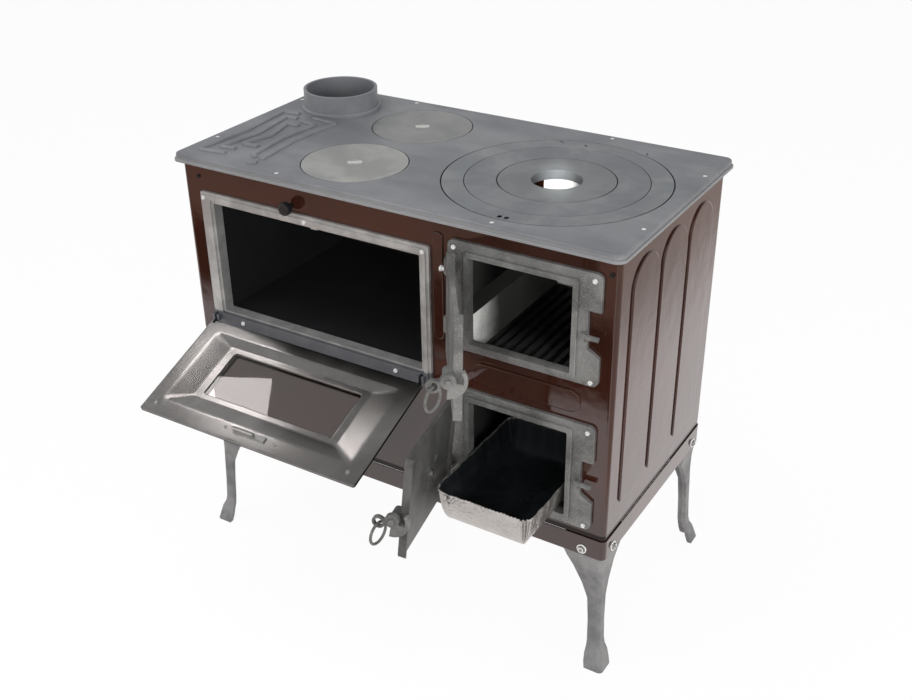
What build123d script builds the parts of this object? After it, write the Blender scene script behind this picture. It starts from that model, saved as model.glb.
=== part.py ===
from build123d import *
import os
from math import cos, radians, sin, tan

# Wood cookstove on four cast legs: a cast-iron top with two lids and a ring set, an oven with a
# drop-down glazed door on the left, and a firebox over an ash box on the right.
# Millimetres. X runs to the right of the front, Y to the back, Z up.
# Pieces are laid out with X = 0 at the middle of the top, Y = 0 at its front edge and Z = 0 on the
# floor. place_all then moves the whole to the bottom centre of its bounding box.

# ---------------------------------------------------------------- driving dimensions
# cast top; its outline follows from what stands under it and what lies in it
plate_rim = 13.0            # height of the moulded rim
rim_low = 4.5               # height of the rim's lower part
rim_step = 3.0              # the lower part stands out by this much
rim_soft = 3.2
plate_skin = 7.0            # thickness inside the rim
plate_corner = 16.0
rim_land = 15.0             # width of the rim where it rests on the cabinet
plate_screw_side = 208.0    # screws of the long edges, from the plate's sides
plate_screw_end = 99.0      # screws of the short edges, from its front and back
side_overhang = 9.0
front_overhang = 16.0
back_overhang = 23.0

# cabinet sheet
sheet = 1.5
cabinet_corner = 8.0
band_bottom = 217.0
band_height = 35.5
band_sheet = 2.0
band_proud = 1.5
tray_rim = 9.0
tray_sheet = 2.0
tray_inset = 0.5
seam = 0.4                  # visible joint between band, tray and panels
panel_screw_left = 33.0     # screws of the front panel, from its sides
panel_screw_right = 12.0
panel_screw_drop = 24.0     # and from the top's underside

# lids and rings
lid_radius = 85.0
lid_from_flue = 33.1
lid_front_margin = 29.0
lid_rear_margin = 32.0
lid_skirt = 6.0             # ledge that each lid or ring rests on
lid_upper = 4.0             # thickness above the ledge
lid_gap = 1.4
lid_edge = 0.6              # chamfer that shows each joint as a fine groove
seat_gap = 0.2
lid_dish_radius = 12.0
lid_dish_depth = 2.5
lug_width = 12.0
ring_front_margin = 29.8
ring_rear_margin = 47.4
ring_right_margin = 28.0
ring_eye_radius = 39.5
ring_inner_width = 51.0
ring_middle_width = 50.5
ring_outer_width = 34.4
ring_outer_gap = 2.0        # play round each ring
ring_middle_gap = 1.0
ring_inner_gap = 1.6
eye_depth = 15.0            # collar round the open middle
eye_wall = 5.0
pocket_length = 18.0
pocket_width = 9.0
pocket_margin = 9.2         # pocket's middle to the outer ring's edge
ring_slots = ((114.5, 7.5), (99.8, 18.4))   # direction in degrees, distance in from the edge
plate_slot = (66.0, 8.0)    # direction, distance out from the ring's edge
slot_length = 9.0
slot_width = 3.0

# flue collar, a standard 130 mm stovepipe seat
flue_diameter = 130.0
flue_side_margin = 38.0
flue_rear_margin = 34.0
flue_wall = 5.0
flue_height = 36.0
flue_bead = 4.0
flue_bead_height = 7.0

# raised meander at the flue end of the top
meander_rib = 10.0
meander_height = 3.6
meander_bend = 5.0          # radius of a rib's bends
meander_soft = 3.2          # rounding of its upper edges
meander_side = 20.0         # from the plate's left edge to where the points below start
meander_front = 20.0        # the same from its front edge
meander_ribs = (            # points of each rib from there
    ((62, 23), (10, 17), (19, 125), (10, 236), (45, 238)),
    ((62, 47), (34, 42), (46, 125), (34, 215), (58, 216)),
    ((88, 73), (56, 71), (72, 125), (58, 185), (82, 188)),
    ((115, 32), (105, 40), (97, 125), (104, 204), (73, 208)),
    ((130, 30), (121, 125), (130, 228), (80, 232)),
    ((118, 8), (134, 15)))

# oven
oven_margin = 37.0          # cabinet's left face to the frame
oven_frame_width = 441.5
oven_frame_height = 241.0
oven_below_top = 47.0       # top's underside to the frame
oven_rail_left = 26.0
oven_rail_right = 16.5
oven_rail_top = 17.0
oven_rail_bottom = 28.0
oven_frame_proud = 8.0
oven_step = 5.0
oven_step_depth = 3.0
oven_neck = 1.5
oven_neck_depth = 14.0
oven_rear_gap = 41.0        # smoke passage behind the oven
oven_clear = 3.0            # frame neck to the oven's walls
oven_screw_inset = 8.8
oven_screw_side = 65.0

# oven door
oven_door_left = 2.5        # frame's left edge to the door's
oven_door_right = 10.0
oven_lap_below = 5.0        # door over the edge of the frame's opening
oven_lap_above = 4.0
oven_door_thick = 16.0
oven_door_edge = 5.0        # thickness along the edges
oven_door_corner = 4.0
swell_foot = 10.0           # edge to where the outer face starts to swell
swell_crown = 22.0          # edge to its flat middle
oven_door_gap = 2.0         # door to frame
oven_door_open = 111.5      # degrees from shut, as it hangs
oven_skin = 1.5
oven_pan = 1.5
pan_rim_side = 27.0         # pan's flat rim, at its sides
pan_rim_free = 31.0         # at the free edge
pan_rim_hinge = 22.0        # and at the hinges
pan_fall = 4.0
pan_slope_side = 43.5       # width of the slopes inside the rim
pan_slope_free = 25.0
pan_slope_hinge = 16.0
window_beside = 14.5        # pan's flat border beside the window
window_above = 10.0
window_lap = 8.0
glass_thick = 3.5
oven_pivot_below = 9.0      # pivot under the shut door's lower edge
oven_pivot_radius = 2.0
oven_ear = 4.0
oven_ear_radius = 5.0
oven_cheek = 4.0
oven_cheek_radius = 6.0
oven_cheek_inset = 6.0
handle_length = 130.0
handle_stand = 30.0
handle_radius = 6.0
handle_inset = 30.0
tongue_inset = 20.5         # roller's middle to the free edge
tongue_roller = (-44.0, -1.0)   # from the nib's middle
tongue_housing = (-39.0, 21.0)
tongue_screw_apart = 100.0
pan_screw_inset = 22.0

# firebox and ash frames
frames_apart = 33.5         # oven frame to the hearth's frames
hearth_margin = 23.0        # cabinet's right face to the frames
hearth_frame_width = 247.0
frame_rail_left = 37.0
frame_rail_right = 42.0
frame_rail_top = 21.0
frame_rail_bottom = 16.0
ash_rail_rise = 3.0         # the ash opening sits higher in its frame
fire_margin = 25.0          # firebox frame to the top's underside
fire_frame_height = 178.0
frames_between = 67.5
ash_margin = 9.0            # ash frame over the tray's rim
ash_frame_height = 186.0
frame_flange = 6.5
frame_corner = 10.0
frame_lip = 8.0
frame_lip_height = 5.5
frame_neck = 3.0
frame_neck_depth = 4.0
frame_screw_inset = 11.0
notch_depth = 19.5
notch_above = 39.0
notch_below = 21.0
notch_chamfer = 13.0
fire_catch_rise = 81.0      # frame's lower edge to the catch pin
ash_catch_rise = 84.0
edge_soft = 1.3             # rounding of the castings' front edges

# cast doors
door_plate = 7.0
door_lip_gap = 0.5
door_rim = 4.5
door_rim_depth = 5.5
door_rim_gap = 2.5
door_lap_hinge = 7.0        # plate past the rim on the hinge side
door_lap_top = 10.0
door_corner = 7.0
hinge_radius = 6.5
hinge_pin_radius = 3.0
hinge_left = 9.0            # hinge axis left of the door's edge
hinge_spread = 48.0
hinge_lower = 4.0           # middle of the hinges under the frame's
knuckle_height = 14.0
lug_height = 9.0
knuckle_gap = 0.4
fire_door_open = 55.5
ash_door_open = 77.0
fire_hinge_lean = 1.5       # the hinge lines lean to the right, in degrees
ash_hinge_lean = 4.8
lug_relief = 1.2            # the door's edge is cut back round a lug
fire_bolt_radius = 4.6      # bolt in the end of the upper lug
fire_bolt_length = 3.6
fire_bolt_stand = 4.0
fire_bolt_depth = 2.2       # its hole in the lug, short of the hinge pin
running = 0.05              # radial clearance of pins in their bores

# latches
catch_radius = 4.0
catch_stand = 18.0
catch_forward = 2.0         # pin in front of the middle of the lip's height
latch_thick = 8.0
latch_hub = 11.0
hook_inner = 20.4
hook_outer = 26.1
hook_tip = 33.0
hook_root = -13.0
latch_drop = 2.0            # pivot under the catch pin
latch_reach = 15.5          # pivot in front of the catch pin
latch_beside = 9.0          # latch outside the door's edge
latch_boss = 7.0            # radius of the door's boss for the latch
latch_boss_root = 16.0      # how far it starts inside the door's edge
eye_reach = 20.0
eye_drop = 7.0
eye_radius = 6.0
eye_rim = 4.0
eye_thick = 5.0
grip_radius = 17.6
grip_wire = 2.2
grip_clear = 0.6            # ring to the bottom of its eye
fire_grip_turn = -37.5
ash_grip_turn = -16.0
bolt_radius = 3.0
latch_head_radius = 4.4

# air disc of the ash door
disc_radius = 38.0
disc_thick = 4.0
disc_ports = 4
port_radius = 9.0
port_circle = 23.0
disc_left = 8.0             # disc left of the door's middle

# hearth: steel shell, bricks, grate and ash pan
hearth_sheet = 2.0
brick = 30.0
brick_gap = 1.0
brick_left_height = 67.0
brick_right_height = 150.0
brick_top_gap = 18.0        # rear brick under the top
hearth_rear_gap = 73.5      # shell to the back panel
shell_left_height = 148.0   # above the grate: smoke leaves over it
grate_thick = 12.0
grate_bar = 8.0
grate_slot = 9.0
ledge_width = 15.0
ledge_height = 8.0
grate_below = 24.0          # grate's top under the fire opening
runner_width = 12.0
runner_height = 4.0
pan_beside = 3.5            # tray's rim to the side of the opening
pan_length = 235.0
pan_height = 56.0
pan_taper = 8.0
pan_wall = 0.8
pan_rim_out = 2.0
pan_corner = 15.0
pan_gap = 0.3
pan_out = 118.0             # how far the tray stands in front of the cabinet

# smoke damper
damper_from_middle = 34.75  # left of the oven's middle
damper_drop = 36.5          # under the top's rim
damper_rod_radius = 4.0
damper_knob_radius = 10.5
damper_knob_length = 14.0
damper_gap = 9.0
gate_inset = 61.5           # gate to the oven's rear wall
damper_width = 130.0
damper_sheet = 3.0

# legs
leg_thick = 8.0
leg_top = 30.0              # height of the leg behind the band
leg_corner = 7.8
leg_flange = 68.0           # width of both flanges behind the band
leg_upper = (               # over the band's lower edge, corner outside the cabinet's, flanges
    (-12.0, -2.0, 62.0), (-31.0, -3.5, 48.0), (-59.0, -3.5, 32.0), (-85.0, -2.5, 22.0))
leg_foot = (                # the same over the floor
    (90.0, -1.0, 20.0), (50.0, 1.0, 20.5), (38.0, 3.0, 22.5), (27.0, 8.0, 28.0),
    (12.0, 12.0, 31.0), (0.0, 15.0, 31.5))
leg_bolt_x = 36.5
leg_bolt_y = 30.0
leg_bolt_rise = 11.0
washer_radius = 8.0
washer_thick = 1.5
head_radius = 5.0
head_height = 3.5

# embossing of the enamelled panels
emboss = 3.0
arch_count = 3
arch_width = 94.0
arch_pitch = 105.0
arch_over_tray = 35.5
arch_below_top = 24.0
arch_foot = 14.0
bead_width = 19.0
bead_below_top = 21.0
bead_length = 178.0
bar_height = 38.0
bar_inset = 38.0            # frame's left edge to the bar
bar_end = 27.0              # and the bar to its right edge
bar_lower = 2.0             # bar's middle under the middle between the frames

# screws
screw_radius = 3.4
screw_head = 2.2
screw_shank = 2.4
screw_length = 10.0

# ---------------------------------------------------------------- places worked out from them
ring_inner_radius = ring_eye_radius + ring_inner_width
ring_middle_radius = ring_inner_radius + ring_middle_width
ring_outer_radius = ring_middle_radius + ring_outer_width
plate_width = (2 * side_overhang + oven_margin + oven_frame_width + frames_apart
               + hearth_frame_width + hearth_margin)
plate_depth = ring_front_margin + 2 * ring_outer_radius + ring_rear_margin
band_top = band_bottom + band_height
tray_top = band_top + tray_rim
ash_z0 = tray_top + ash_margin
ash_z1 = ash_z0 + ash_frame_height
fire_z0 = ash_z1 + frames_between
fire_z1 = fire_z0 + fire_frame_height
plate_top = fire_z1 + fire_margin + plate_rim

left = -plate_width / 2 + side_overhang
right = plate_width / 2 - side_overhang
front = front_overhang
back = plate_depth - back_overhang
underside = plate_top - plate_rim       # where the rim rests on the cabinet
skin_under = plate_top - plate_skin
panel_back = front + sheet
arch_bottom = tray_top + arch_over_tray
arch_top = underside - arch_below_top
bead_top = underside - bead_below_top

flue_x = -plate_width / 2 + flue_side_margin + flue_diameter / 2
flue_y = plate_depth - flue_rear_margin - flue_diameter / 2
lid_x = flue_x + flue_diameter / 2 + lid_from_flue + lid_radius
lid_front_y = lid_front_margin + lid_radius
lid_rear_y = plate_depth - lid_rear_margin - lid_radius
ring_x = plate_width / 2 - ring_right_margin - ring_outer_radius
ring_y = ring_front_margin + ring_outer_radius

oven_x0 = left + oven_margin
oven_x1 = oven_x0 + oven_frame_width
oven_z1 = underside - oven_below_top
oven_z0 = oven_z1 - oven_frame_height
oven_open = (oven_x0 + oven_rail_left, oven_x1 - oven_rail_right,
             oven_z0 + oven_rail_bottom, oven_z1 - oven_rail_top)
oven_face = front - oven_frame_proud
oven_depth = back - sheet - oven_rear_gap - panel_back
oven_door_width = oven_frame_width - oven_door_left - oven_door_right
oven_door_height = oven_open[3] - oven_open[2] + oven_lap_below + oven_lap_above

hearth_x1 = right - hearth_margin
hearth_x0 = hearth_x1 - hearth_frame_width
open_x0 = hearth_x0 + frame_rail_left
open_x1 = hearth_x1 - frame_rail_right
fire_open = (open_x0, open_x1, fire_z0 + frame_rail_bottom, fire_z1 - frame_rail_top)
ash_open = (open_x0, open_x1, ash_z0 + frame_rail_bottom + ash_rail_rise,
            ash_z1 - frame_rail_top + ash_rail_rise)
flange_face = front - frame_flange
lip_face = flange_face - frame_lip_height

rim_x0 = open_x0 - frame_lip - door_rim_gap - door_rim
door_x0 = rim_x0 - door_lap_hinge
door_x1 = open_x1 + frame_lip + door_rim_gap + door_rim
door_back = lip_face - door_lip_gap
door_face = door_back - door_plate
hinge_x = door_x0 - hinge_left
hinge_y = door_face + door_plate / 2
catch_y = (flange_face + lip_face) / 2 - catch_forward
pivot_y = catch_y - latch_reach
latch_x = door_x1 + latch_beside        # inner face of the latch

grate_top = fire_z0 + frame_rail_bottom - grate_below
grate_bottom = grate_top - grate_thick
shell_x0 = open_x0 - brick_gap - brick - hearth_sheet
shell_x1 = open_x1 + brick_gap + brick + hearth_sheet
shell_y1 = back - sheet - hearth_rear_gap
floor_top = ash_open[2] - frame_neck - 0.5
pan_bottom = floor_top + runner_height + pan_gap
pan_width = open_x1 - open_x0 - 2 * (pan_rim_out + pan_beside)
pan_front = front - pan_out
damper_x = (oven_x0 + oven_x1) / 2 - damper_from_middle
damper_z = underside - damper_drop
oven_box_top = oven_open[3] + oven_clear + sheet

ring_centre = (ring_x, ring_y)


# ---------------------------------------------------------------- helpers
def block(x0, x1, y0, y1, z0, z1):
    """A box between two corners."""
    return Pos((x0 + x1) / 2, (y0 + y1) / 2, (z0 + z1) / 2) * Box(x1 - x0, y1 - y0, z1 - z0)


def upright(x, y, z0, z1, radius):
    """A vertical cylinder."""
    return Pos(x, y, (z0 + z1) / 2) * Cylinder(radius, z1 - z0)


def along_y(x, y0, y1, z, radius):
    """A cylinder that runs from front to back."""
    return Pos(x, (y0 + y1) / 2, z) * Rot(90, 0, 0) * Cylinder(radius, y1 - y0)


def along_x(x0, x1, y, z, radius):
    """A cylinder that runs from left to right."""
    return Pos((x0 + x1) / 2, y, z) * Rot(0, 90, 0) * Cylinder(radius, x1 - x0)


def front_slab(x0, x1, z0, z1, y0, y1, corner):
    """A plate facing the front, with rounded corners."""
    outline = Pos((x0 + x1) / 2, y1, (z0 + z1) / 2) * Rot(90, 0, 0)
    return extrude(outline * RectangleRounded(x1 - x0, z1 - z0, corner), y1 - y0)


def front_wedge(near, far, y_near, y_far):
    """A solid between two rectangles (x0, x1, z0, z1) that face the front."""
    faces = []
    for (x0, x1, z0, z1), y in ((near, y_near), (far, y_far)):
        outline = Pos((x0 + x1) / 2, y, (z0 + z1) / 2) * Rot(90, 0, 0)
        faces.append(outline * Rectangle(x1 - x0, z1 - z0))
    return loft(faces, ruled=True)


def grown(rect, by):
    """A rectangle (x0, x1, z0, z1) made larger on every side."""
    x0, x1, z0, z1 = rect
    return (x0 - by, x1 + by, z0 - by, z1 + by)


def narrowed(rect, sides, low, high):
    """A rectangle (x0, x1, z0, z1) drawn in at its sides, at its low end and at its high one."""
    x0, x1, z0, z1 = rect
    return (x0 + sides, x1 - sides, z0 + low, z1 - high)


def tilted(solid, y, z, degrees):
    """Turn a solid about the left-to-right line through y, z."""
    return Pos(0, y, z) * Rot(degrees, 0, 0) * Pos(0, -y, -z) * solid


def group(solids):
    """Separate solids kept in one node."""
    return Compound(list(solids))


def screw_facing_front(x, z, face):
    """A pan-head screw driven in from the front, its head on a face."""
    head = along_y(x, face - screw_head, face, z, screw_radius)
    slot = block(x - screw_radius, x + screw_radius, face - screw_head, face - screw_head / 2,
                 z - 0.5, z + 0.5)
    return head - slot + along_y(x, face, face + screw_length, z, screw_shank)


def front_screw_hole(x, z, y0, y1):
    """The hole for that screw."""
    return along_y(x, y0, y1, z, screw_shank + running)


# ---------------------------------------------------------------- cast top
def plate_screw_places():
    inset = rim_land
    half = plate_width / 2
    places = [(sx * (half - plate_screw_side), y) for sx in (-1, 1)
              for y in (inset, plate_depth - inset)]
    places += [(sx * (half - inset), y) for sx in (-1, 1)
               for y in (plate_screw_end, plate_depth - plate_screw_end)]
    return places


def meander():
    """Interlocked ribs with rounded edges, drawn in at the waist, a traditional key pattern."""
    corner = Pos(-plate_width / 2 + meander_side, meander_front, plate_top - 1.0)
    ribs = []
    for points in meander_ribs:
        path = FilletPolyline(*points, radius=meander_bend) if len(points) > 2 else Line(*points)
        rib = extrude(trace(path, meander_rib), meander_height + 1.0)
        ribs.append(corner * fillet(rib.edges().group_by(Axis.Z)[-1], meander_soft))
    return ribs


def slot_at(direction, radius):
    """A short dark slot in the top, set slantwise at a place round the fire opening."""
    a = radians(direction)
    place = Pos(ring_x + radius * cos(a), ring_y + radius * sin(a), plate_top)
    return place * Rot(0, 0, direction - 45.0) * Box(slot_width, slot_length, lid_upper + 2.0)


def seat_cut(x, y, radius, gap):
    """Stepped hole for a lid or ring of this radius, with play round it."""
    upper = upright(x, y, plate_top - lid_upper - seat_gap, plate_top, radius + gap)
    flare = Pos(x, y, plate_top - lid_edge / 2) * Cone(radius + gap, radius + gap + lid_edge,
                                                       lid_edge)
    lower = upright(x, y, skin_under - 1, plate_top, radius - lid_skirt)
    return upper + flare + lower


def top_plate():
    low = extrude(Pos(0, plate_depth / 2, underside)
                  * RectangleRounded(plate_width, plate_depth, plate_corner), rim_low)
    low = fillet(low.edges().group_by(Axis.Z)[-1], rim_step * 0.6)
    high = extrude(Pos(0, plate_depth / 2, underside + rim_low)
                   * RectangleRounded(plate_width - 2 * rim_step, plate_depth - 2 * rim_step,
                                      plate_corner - rim_step), plate_rim - rim_low)
    high = fillet(high.edges().group_by(Axis.Z)[-1], rim_soft)
    hollow = block(-plate_width / 2 + rim_land, plate_width / 2 - rim_land, front + rim_land,
                   back - rim_land, underside - 1, skin_under)
    plate = low + high - hollow
    plate -= seat_cut(lid_x, lid_front_y, lid_radius, lid_gap)
    plate -= seat_cut(lid_x, lid_rear_y, lid_radius, lid_gap)
    plate -= seat_cut(ring_x, ring_y, ring_outer_radius, ring_outer_gap)
    plate -= upright(flue_x, flue_y, underside - 1, plate_top + 1, flue_spigot_radius() + 0.3)
    for x, y in plate_screw_places():
        plate -= upright(x, y, plate_top - screw_head - 0.3, plate_top + 1, screw_radius + 0.2)
        plate -= upright(x, y, underside - 1, plate_top, screw_shank + running)
    plate -= slot_at(plate_slot[0], ring_outer_radius + plate_slot[1])
    return plate.fuse(*meander())


def plate_screws():
    screws = []
    for x, y in plate_screw_places():
        seat = plate_top - screw_head - 0.3
        head = upright(x, y, seat, plate_top - 0.3, screw_radius)
        slot = Pos(x, y, plate_top - 0.3) * Box(2 * screw_radius, 1.0, screw_head)
        screws.append(head - slot + upright(x, y, underside, seat, screw_shank))
    return group(screws)


def flue_spigot_radius():
    return flue_diameter / 2 - flue_wall + 2.0


def flue_collar():
    outer = upright(flue_x, flue_y, plate_top, plate_top + flue_height, flue_diameter / 2)
    bead = upright(flue_x, flue_y, plate_top, plate_top + flue_bead_height,
                   flue_diameter / 2 + flue_bead)
    bead = fillet(bead.edges().group_by(Axis.Z)[-1], flue_bead * 0.7)
    spigot = upright(flue_x, flue_y, skin_under, plate_top, flue_spigot_radius())
    bore = upright(flue_x, flue_y, skin_under - 1, plate_top + flue_height + 1,
                   flue_diameter / 2 - flue_wall)
    return outer + bead + spigot - bore


# ---------------------------------------------------------------- lids and rings
def lid_blank(x, y, radius):
    """A disc that rests on its seat's ledge and hangs down through it."""
    upper = upright(x, y, plate_top - lid_upper, plate_top, radius)
    upper = chamfer(upper.edges().group_by(Axis.Z)[-1], lid_edge)
    lower = upright(x, y, skin_under, plate_top - lid_upper, radius - lid_skirt - lid_gap)
    return upper + lower


def hot_lid(y):
    lid = lid_blank(lid_x, y, lid_radius)
    lid -= upright(lid_x, y, plate_top - lid_dish_depth, plate_top + 1, lid_dish_radius)
    lug = Pos(lid_x, y, plate_top - lid_dish_depth / 2) * Rot(0, 0, 35)
    lug *= Box(2 * lid_dish_radius, lug_width, lid_dish_depth)
    return lid + lug


def ring(outer, inner, gap):
    """A ring whose inner ledge carries the next one, with play round that one."""
    return lid_blank(ring_x, ring_y, outer) - seat_cut(ring_x, ring_y, inner, gap)


def ring_outer():
    body = ring(ring_outer_radius, ring_middle_radius, ring_middle_gap)
    for direction, inset in ring_slots:
        body -= slot_at(direction, ring_outer_radius - inset)
    y = ring_y - ring_outer_radius + pocket_margin
    pocket = Pos(ring_x, y, plate_top) * Box(pocket_length, pocket_width, lid_upper)
    bridge = Pos(ring_x, y, plate_top - 0.8) * Box(4.0, pocket_width, 1.6)
    return body - pocket + bridge


def ring_middle():
    return ring(ring_middle_radius, ring_inner_radius, ring_inner_gap)


def ring_inner():
    """The innermost ring, open in the middle, with a collar that hangs round the opening."""
    collar_under = plate_top - eye_depth
    body = lid_blank(ring_x, ring_y, ring_inner_radius)
    body += upright(ring_x, ring_y, collar_under, skin_under, ring_eye_radius + eye_wall)
    body -= upright(ring_x, ring_y, collar_under - 1, plate_top + 1, ring_eye_radius)
    return body - Pos(ring_x, ring_y, plate_top - lid_edge / 2) * Cone(
        ring_eye_radius, ring_eye_radius + lid_edge, lid_edge)


# ---------------------------------------------------------------- cabinet
def wall_ring(inset, thick, z0, z1):
    """A closed upright band of sheet that follows the cabinet's outline."""
    wide = right - left - 2 * inset
    deep = back - front - 2 * inset
    centre = Pos((left + right) / 2, (front + back) / 2, z0)
    corner = cabinet_corner - inset
    outer = extrude(centre * RectangleRounded(wide, deep, corner), z1 - z0)
    inner = extrude(centre * RectangleRounded(wide - 2 * thick, deep - 2 * thick,
                                              max(corner - thick, 1.0)), z1 - z0)
    return outer - inner


def panel_ring():
    return wall_ring(0, sheet, tray_top + seam, underside)


def front_openings():
    """What the front panel and the hearth's front plate leave open."""
    return fire_open, ash_open


def front_panel():
    corner = cabinet_corner
    panel = panel_ring() & block(left + corner, right - corner, front - 1, front + 5, 0, plate_top)
    bead_x = (oven_x1 + hearth_x0) / 2 - 3.0
    bead = front_slab(bead_x - bead_width / 2, bead_x + bead_width / 2, bead_top - bead_length,
                      bead_top, front - emboss, front, bead_width / 2 - 0.01)
    bar_z = (fire_z0 + ash_z1) / 2 - bar_lower
    bar = front_slab(hearth_x0 + bar_inset, hearth_x1 - bar_end, bar_z - bar_height / 2,
                     bar_z + bar_height / 2, front - emboss, front, bar_height / 2 - 0.01)
    panel += fillet(bead.faces().sort_by(Axis.Y)[0].edges(), emboss * 0.8)
    panel += fillet(bar.faces().sort_by(Axis.Y)[0].edges(), emboss * 0.8)
    x0, x1, z0, z1 = grown(oven_open, oven_clear + 1)
    panel -= block(x0, x1, front - 5, front + 5, z0, z1)
    for rect in front_openings():
        x0, x1, z0, z1 = grown(rect, frame_neck + 1)
        panel -= block(x0, x1, front - 5, front + 5, z0, z1)
    for x, z in panel_screw_places() + oven_frame_screw_places() + hearth_screw_places():
        panel -= front_screw_hole(x, z, front - 1, front + 5)
    return panel - along_y(damper_x, front - 1, front + 5, damper_z, damper_rod_radius + 0.3)


def arch(side, y):
    """A round-topped panel pressed outward from a side."""
    half = arch_width / 2
    outline = make_face(Polyline((y - half, arch_bottom), (y + half, arch_bottom),
                                 (y + half, arch_top - half))
                        + ThreePointArc((y + half, arch_top - half), (y, arch_top),
                                        (y - half, arch_top - half))
                        + Line((y - half, arch_top - half), (y - half, arch_bottom)))
    solid = extrude(Plane.YZ * outline, emboss)
    feet = solid.edges().filter_by(Axis.X).group_by(Axis.Z)[0]
    solid = fillet(feet, arch_foot)
    solid = fillet(solid.faces().sort_by(Axis.X)[-1].edges(), emboss * 0.8)
    if side < 0:
        solid = mirror(solid, Plane.YZ)
    return Pos(right if side > 0 else left, 0, 0) * solid


def side_panel(side):
    corner = cabinet_corner
    if side > 0:
        keep = block(right - corner, right + 1, front - 1, back - corner, 0, plate_top)
    else:
        keep = block(left - 1, left + corner, front - 1, back - corner, 0, plate_top)
    panel = panel_ring() & keep
    middle = (front + back) / 2
    for i in range(arch_count):
        panel += arch(side, middle + (i - (arch_count - 1) / 2) * arch_pitch)
    return panel


def back_panel():
    return panel_ring() & block(left - 1, right + 1, back - cabinet_corner, back + 1, 0, plate_top)


def base_band():
    band = wall_ring(-band_proud, band_sheet, band_bottom, band_top - seam)
    for x, y, facing in leg_bolt_places():
        band -= bolt_hole(x, y, facing)
    return band


def floor_tray():
    """Shallow tray that closes the cabinet's floor; its rim shows over the band."""
    rim = wall_ring(tray_inset, tray_sheet, band_top, tray_top)
    wide = right - left - 2 * tray_inset
    deep = back - front - 2 * tray_inset
    base = extrude(Pos(0, (front + back) / 2, band_top)
                   * RectangleRounded(wide, deep, cabinet_corner - tray_inset), tray_sheet)
    return rim + base


def panel_screw_places():
    z = underside - panel_screw_drop
    return [(left + panel_screw_left, z), (right - panel_screw_right, z)]


def panel_screws():
    return group(screw_facing_front(x, z, front) for x, z in panel_screw_places())


# ---------------------------------------------------------------- legs
def leg_stations():
    """Height, how far the corner stands outside the cabinet's, and the width of both flanges."""
    flush = band_proud - band_sheet
    upper = ((leg_top, flush, leg_flange), (-1.0, flush, leg_flange)) + leg_upper
    return [(band_bottom + rise, out, width) for rise, out, width in upper] + list(leg_foot)


def leg():
    """The front right leg: an angle whose corner edge bows out to the foot."""
    sections = []
    for z, out, width in leg_stations():
        x, y = right + out, front - out
        inside = Polyline((x, y + leg_corner), (x, y + width), (x - leg_thick, y + width),
                          (x - leg_thick, y + leg_thick), (x - width, y + leg_thick),
                          (x - width, y), (x - leg_corner, y))
        nose = RadiusArc((x - leg_corner, y), (x, y + leg_corner), -leg_corner)
        sections.append(Pos(0, 0, z) * make_face(inside + nose))
    solid = loft(sections, ruled=True)
    for x, y, facing in leg_bolt_places():
        if x > 0 and y < (front + back) / 2:
            solid -= bolt_hole(x, y, facing)
    return solid


def legs():
    first = leg()
    middle = Plane.XZ.offset(-(front + back) / 2)
    rear = mirror(first, middle)
    return {"leg_front_right": first, "leg_front_left": mirror(first, Plane.YZ),
            "leg_rear_right": rear, "leg_rear_left": mirror(rear, Plane.YZ)}


def leg_bolt_places():
    """Bolt positions on the band's outer faces, with the way that each one faces."""
    face_x = right + band_proud
    front_y, back_y = front - band_proud, back + band_proud
    places = []
    for sx in (-1, 1):
        places.append((sx * (right - leg_bolt_x), front_y, (0, -1)))
        places.append((sx * (right - leg_bolt_x), back_y, (0, 1)))
        places.append((sx * face_x, front + leg_bolt_y, (sx, 0)))
        places.append((sx * face_x, back - leg_bolt_y, (sx, 0)))
    return places


def facing_rod(x, y, facing, start, end, radius):
    """A rod along a horizontal direction, between two distances from a point on a face."""
    z = band_bottom + leg_bolt_rise
    dx, dy = facing
    middle = (start + end) / 2
    turn = Rot(90, 0, 0) if dx == 0 else Rot(0, 90, 0)
    return Pos(x + dx * middle, y + dy * middle, z) * turn * Cylinder(radius, end - start)


def bolt_hole(x, y, facing):
    return facing_rod(x, y, facing, -band_sheet - leg_thick - 1, 1, bolt_radius + 0.2)


def leg_bolts():
    bolts = []
    grip = band_sheet + leg_thick
    for x, y, facing in leg_bolt_places():
        washer = facing_rod(x, y, facing, 0, washer_thick, washer_radius)
        head = facing_rod(x, y, facing, washer_thick, washer_thick + head_height, head_radius)
        socket = facing_rod(x, y, facing, washer_thick + 1, washer_thick + head_height + 1, 2.6)
        shank = facing_rod(x, y, facing, -grip - 7, 0, bolt_radius)
        nut = facing_rod(x, y, facing, -grip - 5, -grip, head_radius)
        bolts.append(washer + head + shank + nut - socket)
    return group(bolts)


# ---------------------------------------------------------------- oven
def oven_pivot():
    """Height and depth of the oven door's pivot line."""
    return oven_face, oven_door_bottom() - oven_pivot_below


def oven_door_bottom():
    return oven_open[2] - oven_lap_below


def oven_door_x0():
    return oven_x0 + oven_door_left


def oven_ear_centres():
    x0 = oven_door_x0()
    return [x0 + oven_cheek_inset, x0 + oven_door_width - oven_cheek_inset]


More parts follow.
